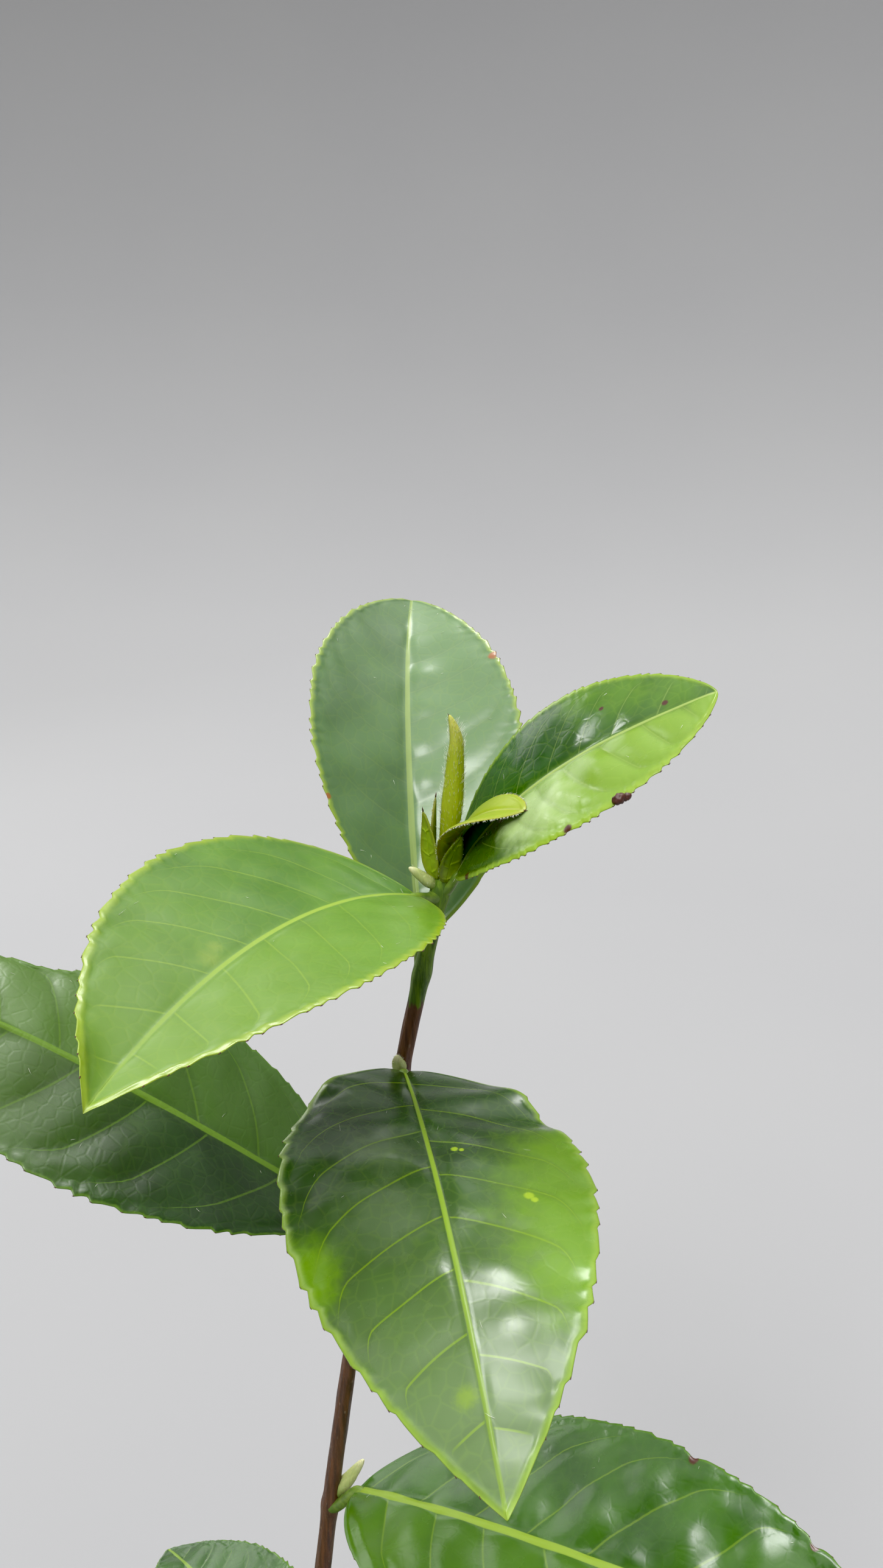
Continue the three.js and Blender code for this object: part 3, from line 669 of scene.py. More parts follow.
def leaf_top_material(name, leaf, look):
    """A leaf's glossy top: mottled green, a pale midrib, thin veins, marks and a yellow-green margin.

    Painted shade darkens the valleys along the veins, one half is made lighter partly by painted light, and
    some marks are painted sheen, glare, shade and light.
    """
    nodes = Nodes(name, IOR=1.4, Coat_Weight=look["coat"], Coat_Roughness=0.22, Subsurface_Weight=0.1,
                  Subsurface_Scale=0.0015)
    nodes.shader.inputs["Subsurface Radius"].default_value = (0.5, 1.0, 0.2)
    flat = nodes.field("flat")
    along, side, margin = nodes.parts(nodes.field("leaf"))
    off = nodes.math("PINGPONG", nodes.field("vein", "Fac"), 0.5)
    beside = nodes.field("rib", "Fac")
    fine = nodes.noise(flat, 0.6, 4.0, 0.6)
    colour = nodes.over(look["deep"], look["mid"], nodes.noise(flat, 0.08), 0.3, 0.7)
    colour = nodes.over(colour, look["mid"], fine, 0.35, 0.7, 0.0, 0.2)
    # Partly painted light: one half of the blade is made lighter, partly its own colour and partly the light
    # that this half catches.
    hand, share, pale = look["lit_half_tint"]
    colour = nodes.over(colour, pale, nodes.times(side, hand), -0.1, 0.1, 0.0, share)
    share, pale = look["tipward"]
    colour = nodes.over(colour, pale, along, 0.3, 0.9, 0.0, share)
    for *place, radius, tint in look["patches"]:
        colour = nodes.mix(near(nodes, leaf, flat, place, radius, PATCH_RAGGED), colour, tint)
    open_part = nodes.times(nodes.step(margin, 0.8, 4.0), nodes.step(beside, 0.0, 0.3))
    net = nodes.cells(flat, 0.45)
    colour = nodes.over(colour, look["edge"], net, 0.0, 0.09, 0.08, 0.0)
    # Painted shade: the blade is darkened in the shallow valleys beside the veins.
    shade = nodes.times(nodes.step(off, 0.02, 0.14, 0.15, 0.0), open_part)
    colour = nodes.mix(shade, colour, look["deep"])
    line = nodes.times(nodes.step(off, 0.008, 0.024, look["line"], 0.0), open_part)
    colour = nodes.mix(line, colour, look["rib_colour"])
    ragged = nodes.plus(margin, nodes.times(nodes.math("SUBTRACT", fine, 0.5), 0.8))
    colour = nodes.over(colour, look["edge"], ragged, 0.0, look["edge_width"], 0.9, 0.0)
    rib = nodes.step(beside, -0.1, 0.12, 1.0, 0.0)
    shown = nodes.step(along, 0.3, 0.95, 0.9, 0.9 * (1 - look["rib_fade"]))
    colour = nodes.mix(nodes.times(rib, shown), colour, look["rib_colour"])
    for *place, radius, tint in look["spots"]:
        colour = nodes.mix(near(nodes, leaf, flat, place, radius, SPOT_RAGGED), colour, tint)
    height = nodes.plus(nodes.step(net, 0.0, 0.16), nodes.noise(flat, 1.2))
    roughness = nodes.step(nodes.noise(flat, 0.25), 0.3, 0.7, -0.04, 0.06)
    base_rough = nodes.step(side, -0.1, 0.1, look["far_rough"] or look["rough"], look["rough"])
    roughness = nodes.plus(roughness, nodes.step(along, 0.7, 0.88, 0.0, look["tip_rough"]))
    roughness = nodes.plus(roughness, nodes.plus(base_rough, nodes.times(rib, 0.22)))
    return nodes.finish(colour, roughness, nodes.bump(height, 0.06, look["net"]))


def near(nodes, leaf, flat, place, radius, ragged):
    """A mask round one place of a blade, with a soft, ragged edge."""
    along, across = place
    middle = (along * leaf["length"], across * half_width(leaf, along), 0)
    gap = nodes.node("ShaderNodeVectorMath", operation="DISTANCE")
    nodes.put(gap.inputs[0], flat)
    nodes.put(gap.inputs[1], middle)
    uneven = nodes.math("SUBTRACT", nodes.noise(flat, 2.0 / radius, 3.0, 0.6), 0.5)
    reach = nodes.plus(gap.outputs["Value"], nodes.times(uneven, 1.6 * radius * ragged))
    return nodes.step(reach, radius * (1 - ragged), radius * (1 + ragged), 1.0, 0.0)


def leaf_under_material(name, look):
    """A leaf's underside: paler, duller, with its net of veins."""
    nodes = Nodes(name, Subsurface_Weight=0.1, Subsurface_Scale=0.0015)
    flat = nodes.field("flat")
    margin = nodes.parts(nodes.field("leaf"))[2]
    net = nodes.cells(flat, 0.42)
    plain, veined = look["under"], tuple(1.6 * c for c in look["under"])
    colour = nodes.mix(nodes.noise(flat, 0.15), plain, tuple(1.25 * c for c in plain))
    colour = nodes.over(colour, veined, net, 0.0, 0.12, 0.3, 0.0)
    off = nodes.math("PINGPONG", nodes.field("vein", "Fac"), 0.5)
    colour = nodes.over(colour, veined, off, 0.015, 0.045, 0.7, 0.0)
    colour = nodes.over(colour, look["edge"], margin, 0.1, 1.0, 0.7, 0.0)
    return nodes.finish(colour, 0.55, nodes.bump(nodes.step(net, 0.0, 0.2, 1.0, 0.0), 0.1, 0.4))


def stalk_material(name):
    """A stalk and the rib under the blade: smooth yellow-green, a little darker at the stem."""
    nodes = Nodes(name, roughness=0.42, Subsurface_Weight=0.1, Subsurface_Scale=0.001)
    along = nodes.parts(nodes.field("leaf"))[0]
    grain = nodes.noise(nodes.place(), 0.8)
    colour = nodes.over((0.08, 0.15, 0.014), (0.15, 0.24, 0.024), grain, 0.3, 0.7)
    colour = nodes.over(colour, (0.04, 0.08, 0.01), along, -0.12, -0.03, 0.6, 0.0)
    return nodes.finish(colour, None, nodes.bump(nodes.noise(nodes.place(), 3.0), 0.08, 0.5))


# Stem geometry, by the rule of its solid.

def stem_point(height):
    height = np.asarray(height, float)
    run = np.maximum(0, (height - STEM_FOOT) / (STEM_TOP - STEM_FOOT))
    return np.stack([STEM_LEAN * run ** STEM_BOW, 0 * run, height], axis=-1)


def stem_taper(height):
    left = 1 - (np.asarray(height, float) - STEM_FOOT) / (STEM_TOP - STEM_FOOT)
    return STEM_TOP_RADIUS + (STEM_FOOT_RADIUS - STEM_TOP_RADIUS) * left ** 3


# Leaf geometry, by the rule of the solids.

def half_width(leaf, u):
    widest = leaf["base"] / (leaf["base"] + leaf["tip"])
    return 0.5 * leaf["width"] * (u / widest) ** leaf["base"] * ((1 - u) / (1 - widest)) ** leaf["tip"]


def midline(leaf):
    """A leaf's middle line from the stem's axis to its tip, rounded at the bend into the blade.

    It gives each point's distance from the blade's base, negative on the stalk, and the points.
    """
    steps = np.linspace(0, 1, MIDLINE_POINTS)
    heading = np.radians(leaf["heading"] + leaf["turn"] * steps)
    along = direction(heading, np.radians(through(leaf["rise"], steps)))
    stride = leaf["length"] / (len(steps) - 1)
    run = np.vstack([np.zeros(3), np.cumsum((along[1:] + along[:-1]) * stride / 2, axis=0)])
    heart = stem_point(leaf["height"])
    start = heart + stem_taper(leaf["height"]) * direction(heading[0], 0)
    rising = direction(heading[0], math.radians(leaf.get("stalk_rise", leaf["rise"][0])))
    base = start + leaf["petiole"] * rising
    place = np.concatenate([[-leaf["petiole"] - stem_taper(leaf["height"]), -leaf["petiole"]],
                            steps * leaf["length"]])
    points = np.vstack([heart, start, base + run])
    even = np.arange(place[0], leaf["length"] + MIDLINE_STEP / 2, MIDLINE_STEP)
    line = along_line(even, place, points)
    reach = int(3 * BEND_ROUNDING / MIDLINE_STEP)
    before = line[0] + (line[0] - line[1]) * np.arange(reach, 0, -1)[:, None]
    after = line[-1] + (line[-1] - line[-2]) * np.arange(1, reach + 1)[:, None]
    weight = np.exp(-0.5 * (np.arange(-reach, reach + 1) * MIDLINE_STEP / BEND_ROUNDING) ** 2)
    padded = np.vstack([before, line, after])
    rounded = np.stack([np.convolve(padded[:, k], weight / weight.sum(), "valid") for k in range(3)], axis=1)
    return even, rounded


def frames(leaf, u):
    """The midrib's points and directions at shares u of the blade, which may be below 0 on the stalk."""
    place, line = midline(leaf)
    tangents = unit(np.gradient(line, axis=0))
    at = u * leaf["length"]
    point = along_line(at, place, line)
    along = unit(along_line(at, place, tangents))
    on_blade = np.clip(u, 0, 1)
    heading = np.radians(leaf["heading"] + leaf["turn"] * on_blade)
    level = np.stack([np.sin(heading), -np.cos(heading), 0 * heading], axis=1)
    upright = np.cross(level, along)
    roll = np.radians(lerp(*leaf["roll"], on_blade))[:, None]
    side = level * np.cos(roll) + upright * np.sin(roll)
    normal = upright * np.cos(roll) - level * np.sin(roll)
    return point, along, side, normal


def tooth_phase(look, u, hand):
    """Counts the teeth of one margin along the blade. Their spacing is a little uneven."""
    place = (u - TOOTHED_FROM) / (TOOTHED_TO - TOOTHED_FROM) * look["teeth"]
    return place + PITCH_UNEVEN * np.sin(1.9 * place + look["seed"] * hand)


def tooth_profile(look, u, hand):
    """How far one margin stands out at each share of the blade, in millimetres."""
    place = tooth_phase(look, u, hand)
    part = place - np.floor(place)
    rise = np.clip(part / TOOTH_LEAN, 0, 1) ** TOOTH_RISE
    fall = np.clip((1 - part) / (1 - TOOTH_LEAN), 0, 1) ** TOOTH_FALL
    fade = np.clip(np.minimum(place, look["teeth"] - place) / TEETH_TO_FULL, 0, 1)
    uneven = 1 + TOOTH_UNEVEN * np.sin(5.3 * np.floor(place) + look["seed"] * hand)
    return look["tooth"] * fade * (np.minimum(rise, fall) * uneven - 0.5)


def vein_field(leaf, look, u, v):
    """A field that grows by one from each secondary vein to the next, on one hand of the blade."""
    half = half_width(leaf, u)
    widest = 0.5 * leaf["width"]
    reach = np.abs(v)
    y = reach * half
    forward = look["sweep"] * y + VEIN_CURVE * y * y / widest
    forward = forward + VEIN_LOOP * widest * np.maximum(0, reach - LOOP_FROM) ** 2
    start = np.where(v > 0, *look["starts"])
    uneven = 0.1 * np.sin(7 * u + look["seed"]) + 0.07 * np.sin(15 * u * np.sign(v) + 2 * look["seed"])
    return look["pairs"] * (u - start - forward / leaf["length"]) + uneven


def blade_points(leaf, look, u, v, rib_half):
    """The middle surface over a grid of u and v, waves and quilting included.

    It gives the points, their unit normals, how far each lies from a vein and how open the blade is there.
    """
    point, _, side, normal = frames(leaf, u)
    half = half_width(leaf, u)[:, None]
    hand = np.sign(v)[None, :]
    reach = np.abs(v)[None, :]
    teeth = np.where(hand > 0, *[tooth_profile(look, u, sign)[:, None] for sign in HANDS])
    for place, which, width, depth in look["nicks"]:
        teeth = teeth - depth * bell((u[:, None] - place) * leaf["length"], width) * (hand == which)
    out = reach * half + teeth * smooth_step(0.8, 1, reach)
    fold = np.radians(lerp(*leaf["fold"], u))[:, None]
    angle = fold + math.radians(leaf["cup"]) * reach / 2
    points = point[:, None] + side[:, None] * (hand * out * np.cos(angle))[..., None]
    lift = out * np.sin(angle)
    for place, which, spread, height in look["waves"]:
        lift = lift + height * bell(u[:, None] - place, spread) * reach ** 2 * (hand == which)
    points = points + normal[:, None] * lift[..., None]
    skin = unit(np.cross(np.gradient(points, axis=1), np.gradient(points, axis=0)))
    grid_u, grid_v = np.meshgrid(u, v, indexing="ij")
    off = np.abs((vein_field(leaf, look, grid_u, grid_v) + 0.5) % 1 - 0.5)
    open_part = smooth_step(0, 0.1, reach) * (1 - 0.75 * smooth_step(0.7, 1, reach))
    open_part = open_part * smooth_step(0.02, 0.12, grid_u) * (1 - smooth_step(0.88, 0.99, grid_u))
    x = grid_u * leaf["length"]
    y = grid_v * half
    margin = (1 - reach) * half
    phase = np.where(hand > 0, *[tooth_phase(look, u, sign)[:, None] for sign in HANDS])
    crimp = look["crimp"] * np.sin(2 * math.pi * phase) * np.exp(-margin / CRIMP_REACH)
    crimp = crimp * smooth_step(CRIMP_FROM, CRIMP_FULL, grid_u) + RIM_RISE * bell(margin - RIM_IN, RIM_SPREAD)
    uneven = QUILT_MEAN + QUILT_RANGE * ripple(x, y, QUILT_WAVE, look["seed"] + 1)
    quilt = np.where(hand > 0, *look["quilt"]) * uneven * (np.sin(math.pi * off) - 0.5) * open_part
    quilt = quilt + look["ripple"] * ripple(x, y, RIPPLE_WAVE, look["seed"]) * open_part
    for place, across, radius, height in look["bulges"]:
        gap = np.hypot(x - place * leaf["length"], y - across * half_width(leaf, place))
        quilt = quilt + height * bell(gap, radius)
    channel = CHANNEL_DEPTH * bell(np.abs(y) - CHANNEL_AWAY * rib_half, CHANNEL_WIDTH * rib_half)
    channel = channel * np.minimum(1, 4 * (1 - grid_u))
    return points + skin * (quilt - channel + crimp)[..., None], skin, off, open_part


def reaches(count):
    """Places across a blade from margin to margin, closest together at the midrib and the margins."""
    s = np.linspace(0, 1, count + 1)
    half = lerp(s, (1 - np.cos(math.pi * s)) / 2, 0.7)
    return np.concatenate([-half[::-1], half[1:]])


def rim(middle, row, margin):
    """Points of a margin at some rows of a blade, and their directions out of it and forward along it."""
    edge, inner = margin
    point = middle[row, edge]
    forward = unit(middle[np.minimum(row + 2, len(middle) - 1), edge] - point)
    return point, unit(point - middle[row, inner]), forward


def leaf_shape(shape, leaf, look, rows):
    """Adds a leaf's blade, its stalk and the rib under the blade.

    It gives the blade's middle surface, its unit normals and the shares of the length where its rows lie.
    """
    t = np.linspace(0, 1, rows)
    u = np.clip(lerp(t, (1 - np.cos(math.pi * t)) / 2, 0.35), END_SHARE, 1 - END_SHARE)
    half = half_width(leaf, u)[:, None]
    rib_half = through(look["rib"], u)[:, None]
    thin = look["thickness"] * np.minimum(1, half / (0.1 * leaf["width"])) / 2
    columns, under_columns = reaches(TOP_COLUMNS), reaches(UNDER_COLUMNS)
    middle, skin, _, _ = blade_points(leaf, look, u, columns, rib_half)
    ridge = RIDGE_HEIGHT * rib_half * bell(columns * half, RIDGE_WIDTH * rib_half)
    ridge = ridge * np.minimum(1, 3 * (1 - u))[:, None]
    top = middle + skin * (thin * (1 - 0.5 * np.abs(columns) ** 8) + ridge)[..., None]
    low_middle, low_skin, off, open_part = blade_points(leaf, look, u, under_columns, rib_half)
    veins = VEIN_RELIEF * bell(off, VEIN_WIDTH) * open_part
    under = low_middle - low_skin * (thin * (1 - 0.5 * np.abs(under_columns) ** 8) + veins)[..., None]
    edges = [rim(middle, np.arange(rows), margin) for margin in MARGINS]
    right, left = [(point + outward * RIM_BULGE)[:, None] for point, outward, _ in edges]
    rings = np.concatenate([top, right, under[:, ::-1], left], axis=1)
    grid_u, grid_v = np.meshgrid(u, [*columns, 1, *under_columns[::-1], -1], indexing="ij")
    flat = np.stack([grid_u * leaf["length"], grid_v * half, 0 * grid_u], axis=-1).reshape(-1, 3)
    place = np.stack([grid_u, grid_v, (1 - np.abs(grid_v)) * half], axis=-1).reshape(-1, 3)
    vein = vein_field(leaf, look, grid_u, grid_v).ravel()
    beside = (np.abs(grid_v) * half - rib_half).ravel()
    slots = [0] * (len(columns) + 1) + [1] * len(under_columns) + [0]
    slots = slots * (rows - 1) + [0] * (2 * len(slots))
    ends = frames(leaf, np.array([0.0, 1.0]))[0]
    shape.skin(rings, ends, slots, flat=np.vstack([flat, [0, 0, 0], [leaf["length"], 0, 0]]),
               leaf=np.vstack([place, [0, 0, 0], [1, 0, 0]]), vein=np.append(vein, [0, look["pairs"]]),
               rib=np.append(beside, [-0.1, -0.1]))
    if "stalk" in leaf:
        stalk_shape(shape, leaf)
    return middle, skin, u


def share_field(shares, sides):
    """The leaf field of a tube: the share of the length at each ring and at the two end points."""
    place = np.stack([shares, 0 * shares, 0 * shares], axis=1).repeat(sides, axis=0)
    return np.vstack([place, place[:1], place[-1:]])


def stalk_shape(shape, leaf):
    """Adds the stalk, from just inside the stem, and the rib that runs on under the blade."""
    stalk, length = leaf["stalk"], leaf["length"]
    start = -(leaf["petiole"] + 0.5 * stem_taper(leaf["height"])) / length
    u = lerp(start, RIB_END, np.linspace(0, 1, TUBE_RINGS) ** 1.5)
    point, along, _, normal = frames(leaf, u)
    on_stalk = np.clip(1 + u * length / leaf["petiole"], 0, 1)
    radius = np.where(u < 0, stalk * lerp(STALK_FOOT, STALK_TOP, on_stalk),
                      lerp(stalk * STALK_TOP, RIB_END_RADIUS, np.clip(u / RIB_END, 0, 1) ** 0.7))
    collar = COLLAR * stalk * bell((u - start) * length, COLLAR_LENGTH)
    drop = smooth_step(-0.01, 0.05, u) * (radius - RIB_SUNK)
    radii = (radius + collar)[:, None] * (1 - FLATTENED * np.clip(np.sin(turns(TUBE_SIDES)), 0, 1) ** 2)
    centres = point - normal * drop[:, None]
    shape.tube(centres, along, radii, TUBE_SIDES, slots=2, leaf=share_field(u, TUBE_SIDES))


def spikes(shape, roots, out, lengths, radius, bend=(0, 0, 0), sides=HAIR_SIDES):
    """Adds thin pointed hairs: each from its root along its own direction, bowed towards bend."""
    roots, out, bend = np.asarray(roots, float), unit(np.asarray(out, float)), np.asarray(bend, float)
    lengths = np.broadcast_to(np.asarray(lengths, float), (len(roots),))[:, None]
    spoke = spokes(out, np.where(np.abs(out[:, 2:]) < 0.8, UP, BACK), turns(sides)) * radius
    middle = roots + out * lengths * 0.55 + bend * lengths * 0.15
    ends = roots + out * lengths + bend * lengths * 0.5
    points = np.concatenate([roots[:, None] + spoke, middle[:, None] + spoke * 0.7, ends[:, None]], axis=1)
    faces = []
    for j in range(sides):
        k = (j + 1) % sides
        faces += [(j, k, sides + k, sides + j), (sides + j, sides + k, 2 * sides)]
    faces.append(tuple(range(sides))[::-1])
    starts = shape.count + (2 * sides + 1) * np.arange(len(roots))
    shape.add(points, [tuple(int(i + at) for i in face) for at in starts for face in faces])


# Buds and hairs, and the pieces made of leaves.

def bud_radius(bud, t):
    fill = np.minimum(1, lerp(bud["root"], 1, t / bud["full"]))
    return 0.5 * bud["width"] * fill * np.sqrt(1 - np.minimum(t, BUD_END) ** 2.2)


def guide_of(along):
    """A direction well away from a bud's own, from which turns round it are measured."""
    return BACK if abs(along[2]) > 0.9 else UP


def bud_shape(shape, bud, centre_at, along, rings, sides, scales):
    """Adds a bud: a drawn-out body wrapped in scales. A scale is (heading, end, spread, height)."""
    t = np.sin(np.linspace(0, math.pi / 2, rings)) * BUD_END
    radii = bud_radius(bud, t)[:, None]
    for heading, end, spread, height in scales:
        off = np.abs(nearest_turn(turns(sides) - math.radians(heading)))
        cover = math.radians(spread) * np.sqrt(np.clip(1 - t / end, 0, 1))
        radii = radii + height * smooth_step(-0.05, 0.25, cover[:, None] - off)
    centres = centre_at(t)
    shape.tube(centres, np.broadcast_to(along, centres.shape), radii, sides, guide=guide_of(along),
               leaf=share_field(t, sides))


def bud_hairs(hairs, bud, centre_at, along, count, seed, length):
    """Scatters silky hairs over a bud, lying towards its tip."""
    draw = np.random.default_rng(seed)
    t = draw.uniform(0, 0.97, count)
    out = spokes(along, guide_of(along), draw.uniform(0, 2 * math.pi, count))
    roots = centre_at(t) + out * (bud_radius(bud, t)[:, None] + 0.02)
    lean = out * draw.uniform(0.35, 1.1, (count, 1)) + along + 0.25 * draw.normal(size=(count, 3))
    spikes(hairs, roots, lean, length * draw.uniform(0.6, 1.3, count), BUD_HAIR_RADIUS, bend=along * 0.5)


def tip_bud_centre(t):
    """The growing tip's middle line at shares t of its length: it bows, and its very tip curls back."""
    foot = stem_point(STEM_TOP)
    curl = -TIP_CURL * np.maximum(0, (t - CURL_FROM) / (1 - CURL_FROM)) ** 1.6
    x = foot[0] + TIP_BUD["lean"] * t * (1 + TIP_BUD["bend"] * (1 - t)) + curl
    return np.stack([x, foot[1] + TIP_BUD["back"] + 0 * t, STEM_TOP + TIP_BUD["length"] * t], axis=-1)


def bud_material(name, foot, body, tip):
    """A bud's matt skin, from its foot over its body to its tip, with fine lines along it."""
    nodes = Nodes(name, roughness=0.5, Subsurface_Weight=0.15, Subsurface_Scale=0.001)
    t = nodes.parts(nodes.field("leaf"))[0]
    lines = nodes.noise(nodes.place((4, 4, 0.5)), 1.0)
    colour = nodes.over(foot, body, t, 0.0, 0.45)
    colour = nodes.over(colour, tip, t, 0.7, 1.0)
    colour = nodes.over(colour, tuple(0.6 * c for c in body), lines, 0.35, 0.65, 0.3, 0.0)
    flecks = nodes.cells(nodes.place(), 1.4, "F1")
    colour = nodes.over(colour, tip, flecks, 0.1, 0.22, 0.3, 0.0)
    return nodes.finish(colour, None, nodes.bump(lines, 0.12, 0.6))


def two_tone(name, roughness, scale, dark, light):
    """A plain surface that drifts between two tones."""
    nodes = Nodes(name, roughness=roughness)
    return nodes.finish(nodes.mix(nodes.noise(nodes.place(), scale, 2.0), dark, light))


def make_buds(hairs):
    """The buds in the leaf axils, each with overlapping scales and short silky hairs."""
    skin = bud_material("axil_bud_skin", (0.16, 0.24, 0.03), (0.4, 0.46, 0.16), (0.6, 0.6, 0.34))
    for index, (name, (length, width, rise, aside)) in enumerate(AXIL_BUDS.items()):
        leaf = LEAVES["leaf_" + name]
        heading = math.radians(leaf["heading"] + aside)
        along = direction(heading, math.radians(rise))
        root = stem_point(leaf["height"] + leaf["stalk"] + 0.4 * width)
        root = root + direction(heading, 0) * (stem_taper(leaf["height"]) - AXIL_SUNK)
        bud = dict(width=width, root=0.62, full=0.25)

        def centre_at(t, root=root, step=along * length):
            return root + step * t[:, None]

        shape = Shape()
        wrap = [(turn, end, spread, share * width) for turn, end, spread, share in AXIL_SCALES]
        bud_shape(shape, bud, centre_at, along, AXIL_RINGS, AXIL_SIDES, wrap)
        shape.build(f"axil_bud_{name}_scales", [skin], "bud", ["axil_bud_" + name])
        bud_hairs(hairs, bud, centre_at, along, AXIL_HAIRS, AXIL_SEED + index, AXIL_HAIR_LENGTH)


def make_tip(hairs, dark):
    """The growing tip: the spike-shaped bud, the leaf that is unfolding and three scales."""
    shape = Shape()
    bud_shape(shape, TIP_BUD, tip_bud_centre, UP, TIP_RINGS, TIP_SIDES, TIP_SCALES)
    skin = bud_material("tip_bud_skin", (0.19, 0.27, 0.002), (0.3, 0.36, 0.004), (0.46, 0.46, 0.08))
    shape.build("tip_bud_spike", [skin], "flush", ["tip_bud"])
    bud_hairs(hairs, TIP_BUD, tip_bud_centre, UP, TIP_HAIRS, TIP_SEED, TIP_HAIR_LENGTH)
    spikes(dark, [tip_bud_centre(0.99) - [0, 0, 0.3]], [[-0.5, 0, 1]], 1.0, 0.13, sides=POINT_SIDES)
    stalks = stalk_material("tip_stalk")
    for index, (name, leaf) in enumerate(TIP_LEAVES.items()):
        look = {**PLAIN_LOOK, **TIP_LOOKS[name]}
        middle, skin, _ = make_leaf(name, leaf, look, stalks, "flush", SMALL_ROWS)
        margin_hairs(hairs, middle, skin, look["fringe"], FRINGE_SEED + index, look["fringe_length"])
        end = middle[-1, TOP_COLUMNS]
        way = end - middle[-12, TOP_COLUMNS]
        spikes(dark, [end - unit(way) * 0.25], [way + [0.05, 0, 0.1]], 0.95, 0.14, sides=POINT_SIDES)


def margin_hairs(hairs, middle, skin, count, seed, length):
    """A fringe of hairs along both margins of a blade."""
    draw = np.random.default_rng(seed)
    rows = len(middle)
    for margin in MARGINS:
        row = draw.integers(int(0.12 * rows), int(0.97 * rows), count)
        edge, outward, forward = rim(middle, row, margin)
        aim = outward + 0.35 * forward + 0.35 * draw.normal(size=(count, 3)) - 0.4 * skin[row, margin[0]]
        spikes(hairs, edge, aim, length * draw.uniform(0.6, 1.2, count), FRINGE_RADIUS, bend=forward * 0.6)


def stray_hairs(hairs, middle, skin, seed):
    """A few short white hairs that lie on a blade."""
    draw = np.random.default_rng(seed)
    row = draw.integers(8, len(middle) - 20, STRAY_HAIRS)
    column = draw.integers(3, middle.shape[1] - 3, STRAY_HAIRS)
    out = skin[row, column]
    along = unit(middle[row + 2, column] - middle[row, column])
    turn = draw.uniform(0, 2 * math.pi, (STRAY_HAIRS, 1))
    aim = along * np.cos(turn) + np.cross(out, along) * np.sin(turn) + 0.15 * out
    lengths = draw.uniform(0.5, 1.3, STRAY_HAIRS)
    spikes(hairs, middle[row, column] + out * 0.22, aim, lengths, STRAY_RADIUS, bend=out * 0.2 - along * 0.4)


def tooth_tips(dark, look, middle, u):
    """The small dark gland on the point of each tooth."""
    for margin, hand in zip(MARGINS, HANDS):
        place = np.interp(np.arange(1, look["teeth"]) + TOOTH_LEAN, tooth_phase(look, u, hand), u)
        place = place[place < TOOTHED_TO - 0.01]
        _, outward, forward = rim(middle, np.searchsorted(u, place), margin)
        edge = along_line(place, u, middle[:, margin[0]])
        aim = outward * 0.7 + forward
        root = edge - unit(aim) * 0.1 + outward * 0.04
        spikes(dark, root, aim, GLAND_LENGTH, GLAND_RADIUS, bend=outward * -0.3, sides=GLAND_SIDES)


def lump(shape, centre, along, length, width, seed, rings=14, sides=18):
    """Adds a small uneven knob: a closed round body along one direction."""
    t = np.linspace(-0.98, 0.98, rings)
    centres = centre + along * (t * length / 2)[:, None]
    angle = turns(sides)
    grain = ripple(t[:, None] * 2 + 0 * angle, 1.5 * np.cos(angle) + np.sin(angle), 1.4, seed)
    radii = width / 2 * np.sqrt(1 - t * t)[:, None] * (1 + 0.18 * grain)
    shape.tube(centres, np.broadcast_to(along, centres.shape), radii, sides)


def make_leaf(name, leaf, look, stalks, slot, rows):
    """One leaf or scale as a piece of its own. It gives what leaf_shape gives."""
    shape = Shape()
    surface = leaf_shape(shape, leaf, look, rows)
    top = leaf_top_material(name + "_top", leaf, look)
    under = leaf_under_material(name + "_under", look)
    shape.build(name + "_blade", [top, under, stalks], slot, [name])
    return surface


def add_callus(dark, middle, skin, u):
    """Two brown knobs, one beside the other, where a margin has healed."""
    row = np.searchsorted(u, CALLUS_PLACE)
    edge, forward = middle[row, -1], unit(middle[row + 4, -1] - middle[row - 4, -1])
    for number, (ahead, out, length, width) in enumerate(CALLUS_KNOBS):
        lump(dark, edge + forward * ahead + skin[row, -1] * out, forward, length, width, CALLUS_SEED + number)


def make_leaves(hairs, dark):
    """The ten full leaves, each a piece of its own."""
    stalks = stalk_material("leaf_stalk")
    for index, (name, leaf) in enumerate(LEAVES.items()):
        look = {**PLAIN_LOOK, **LOOKS[name]}
        slot = "young_foliage" if name in YOUNG_LEAVES else "old_foliage"
        middle, skin, u = make_leaf(name, leaf, look, stalks, slot, BLADE_ROWS)
        tooth_tips(dark, look, middle, u)
        stray_hairs(hairs, middle, skin, STRAY_SEED + index)
        if name == CALLUS_LEAF:
            add_callus(dark, middle, skin, u)


# Stem.

def stem_radius(height):
    """The stem's radius: its taper, its flare, a swelling at each leaf and the rounded tip."""
    flare = FLARE_RADIUS * np.exp(-np.maximum(0, height - STEM_FOOT) / FLARE_HEIGHT)
    swells = [bell(height - leaf["height"], NODE_SPREAD) for leaf in LEAVES.values()]
    swell = NODE_SWELL * np.max(swells, axis=0)
    tip = np.clip((height - STEM_TOP + TIP_TAPER) / TIP_TAPER, 0, 1)
    return stem_taper(np.maximum(height, STEM_FOOT)) + flare + swell * (1 - tip) - TIP_LOSS * tip * tip


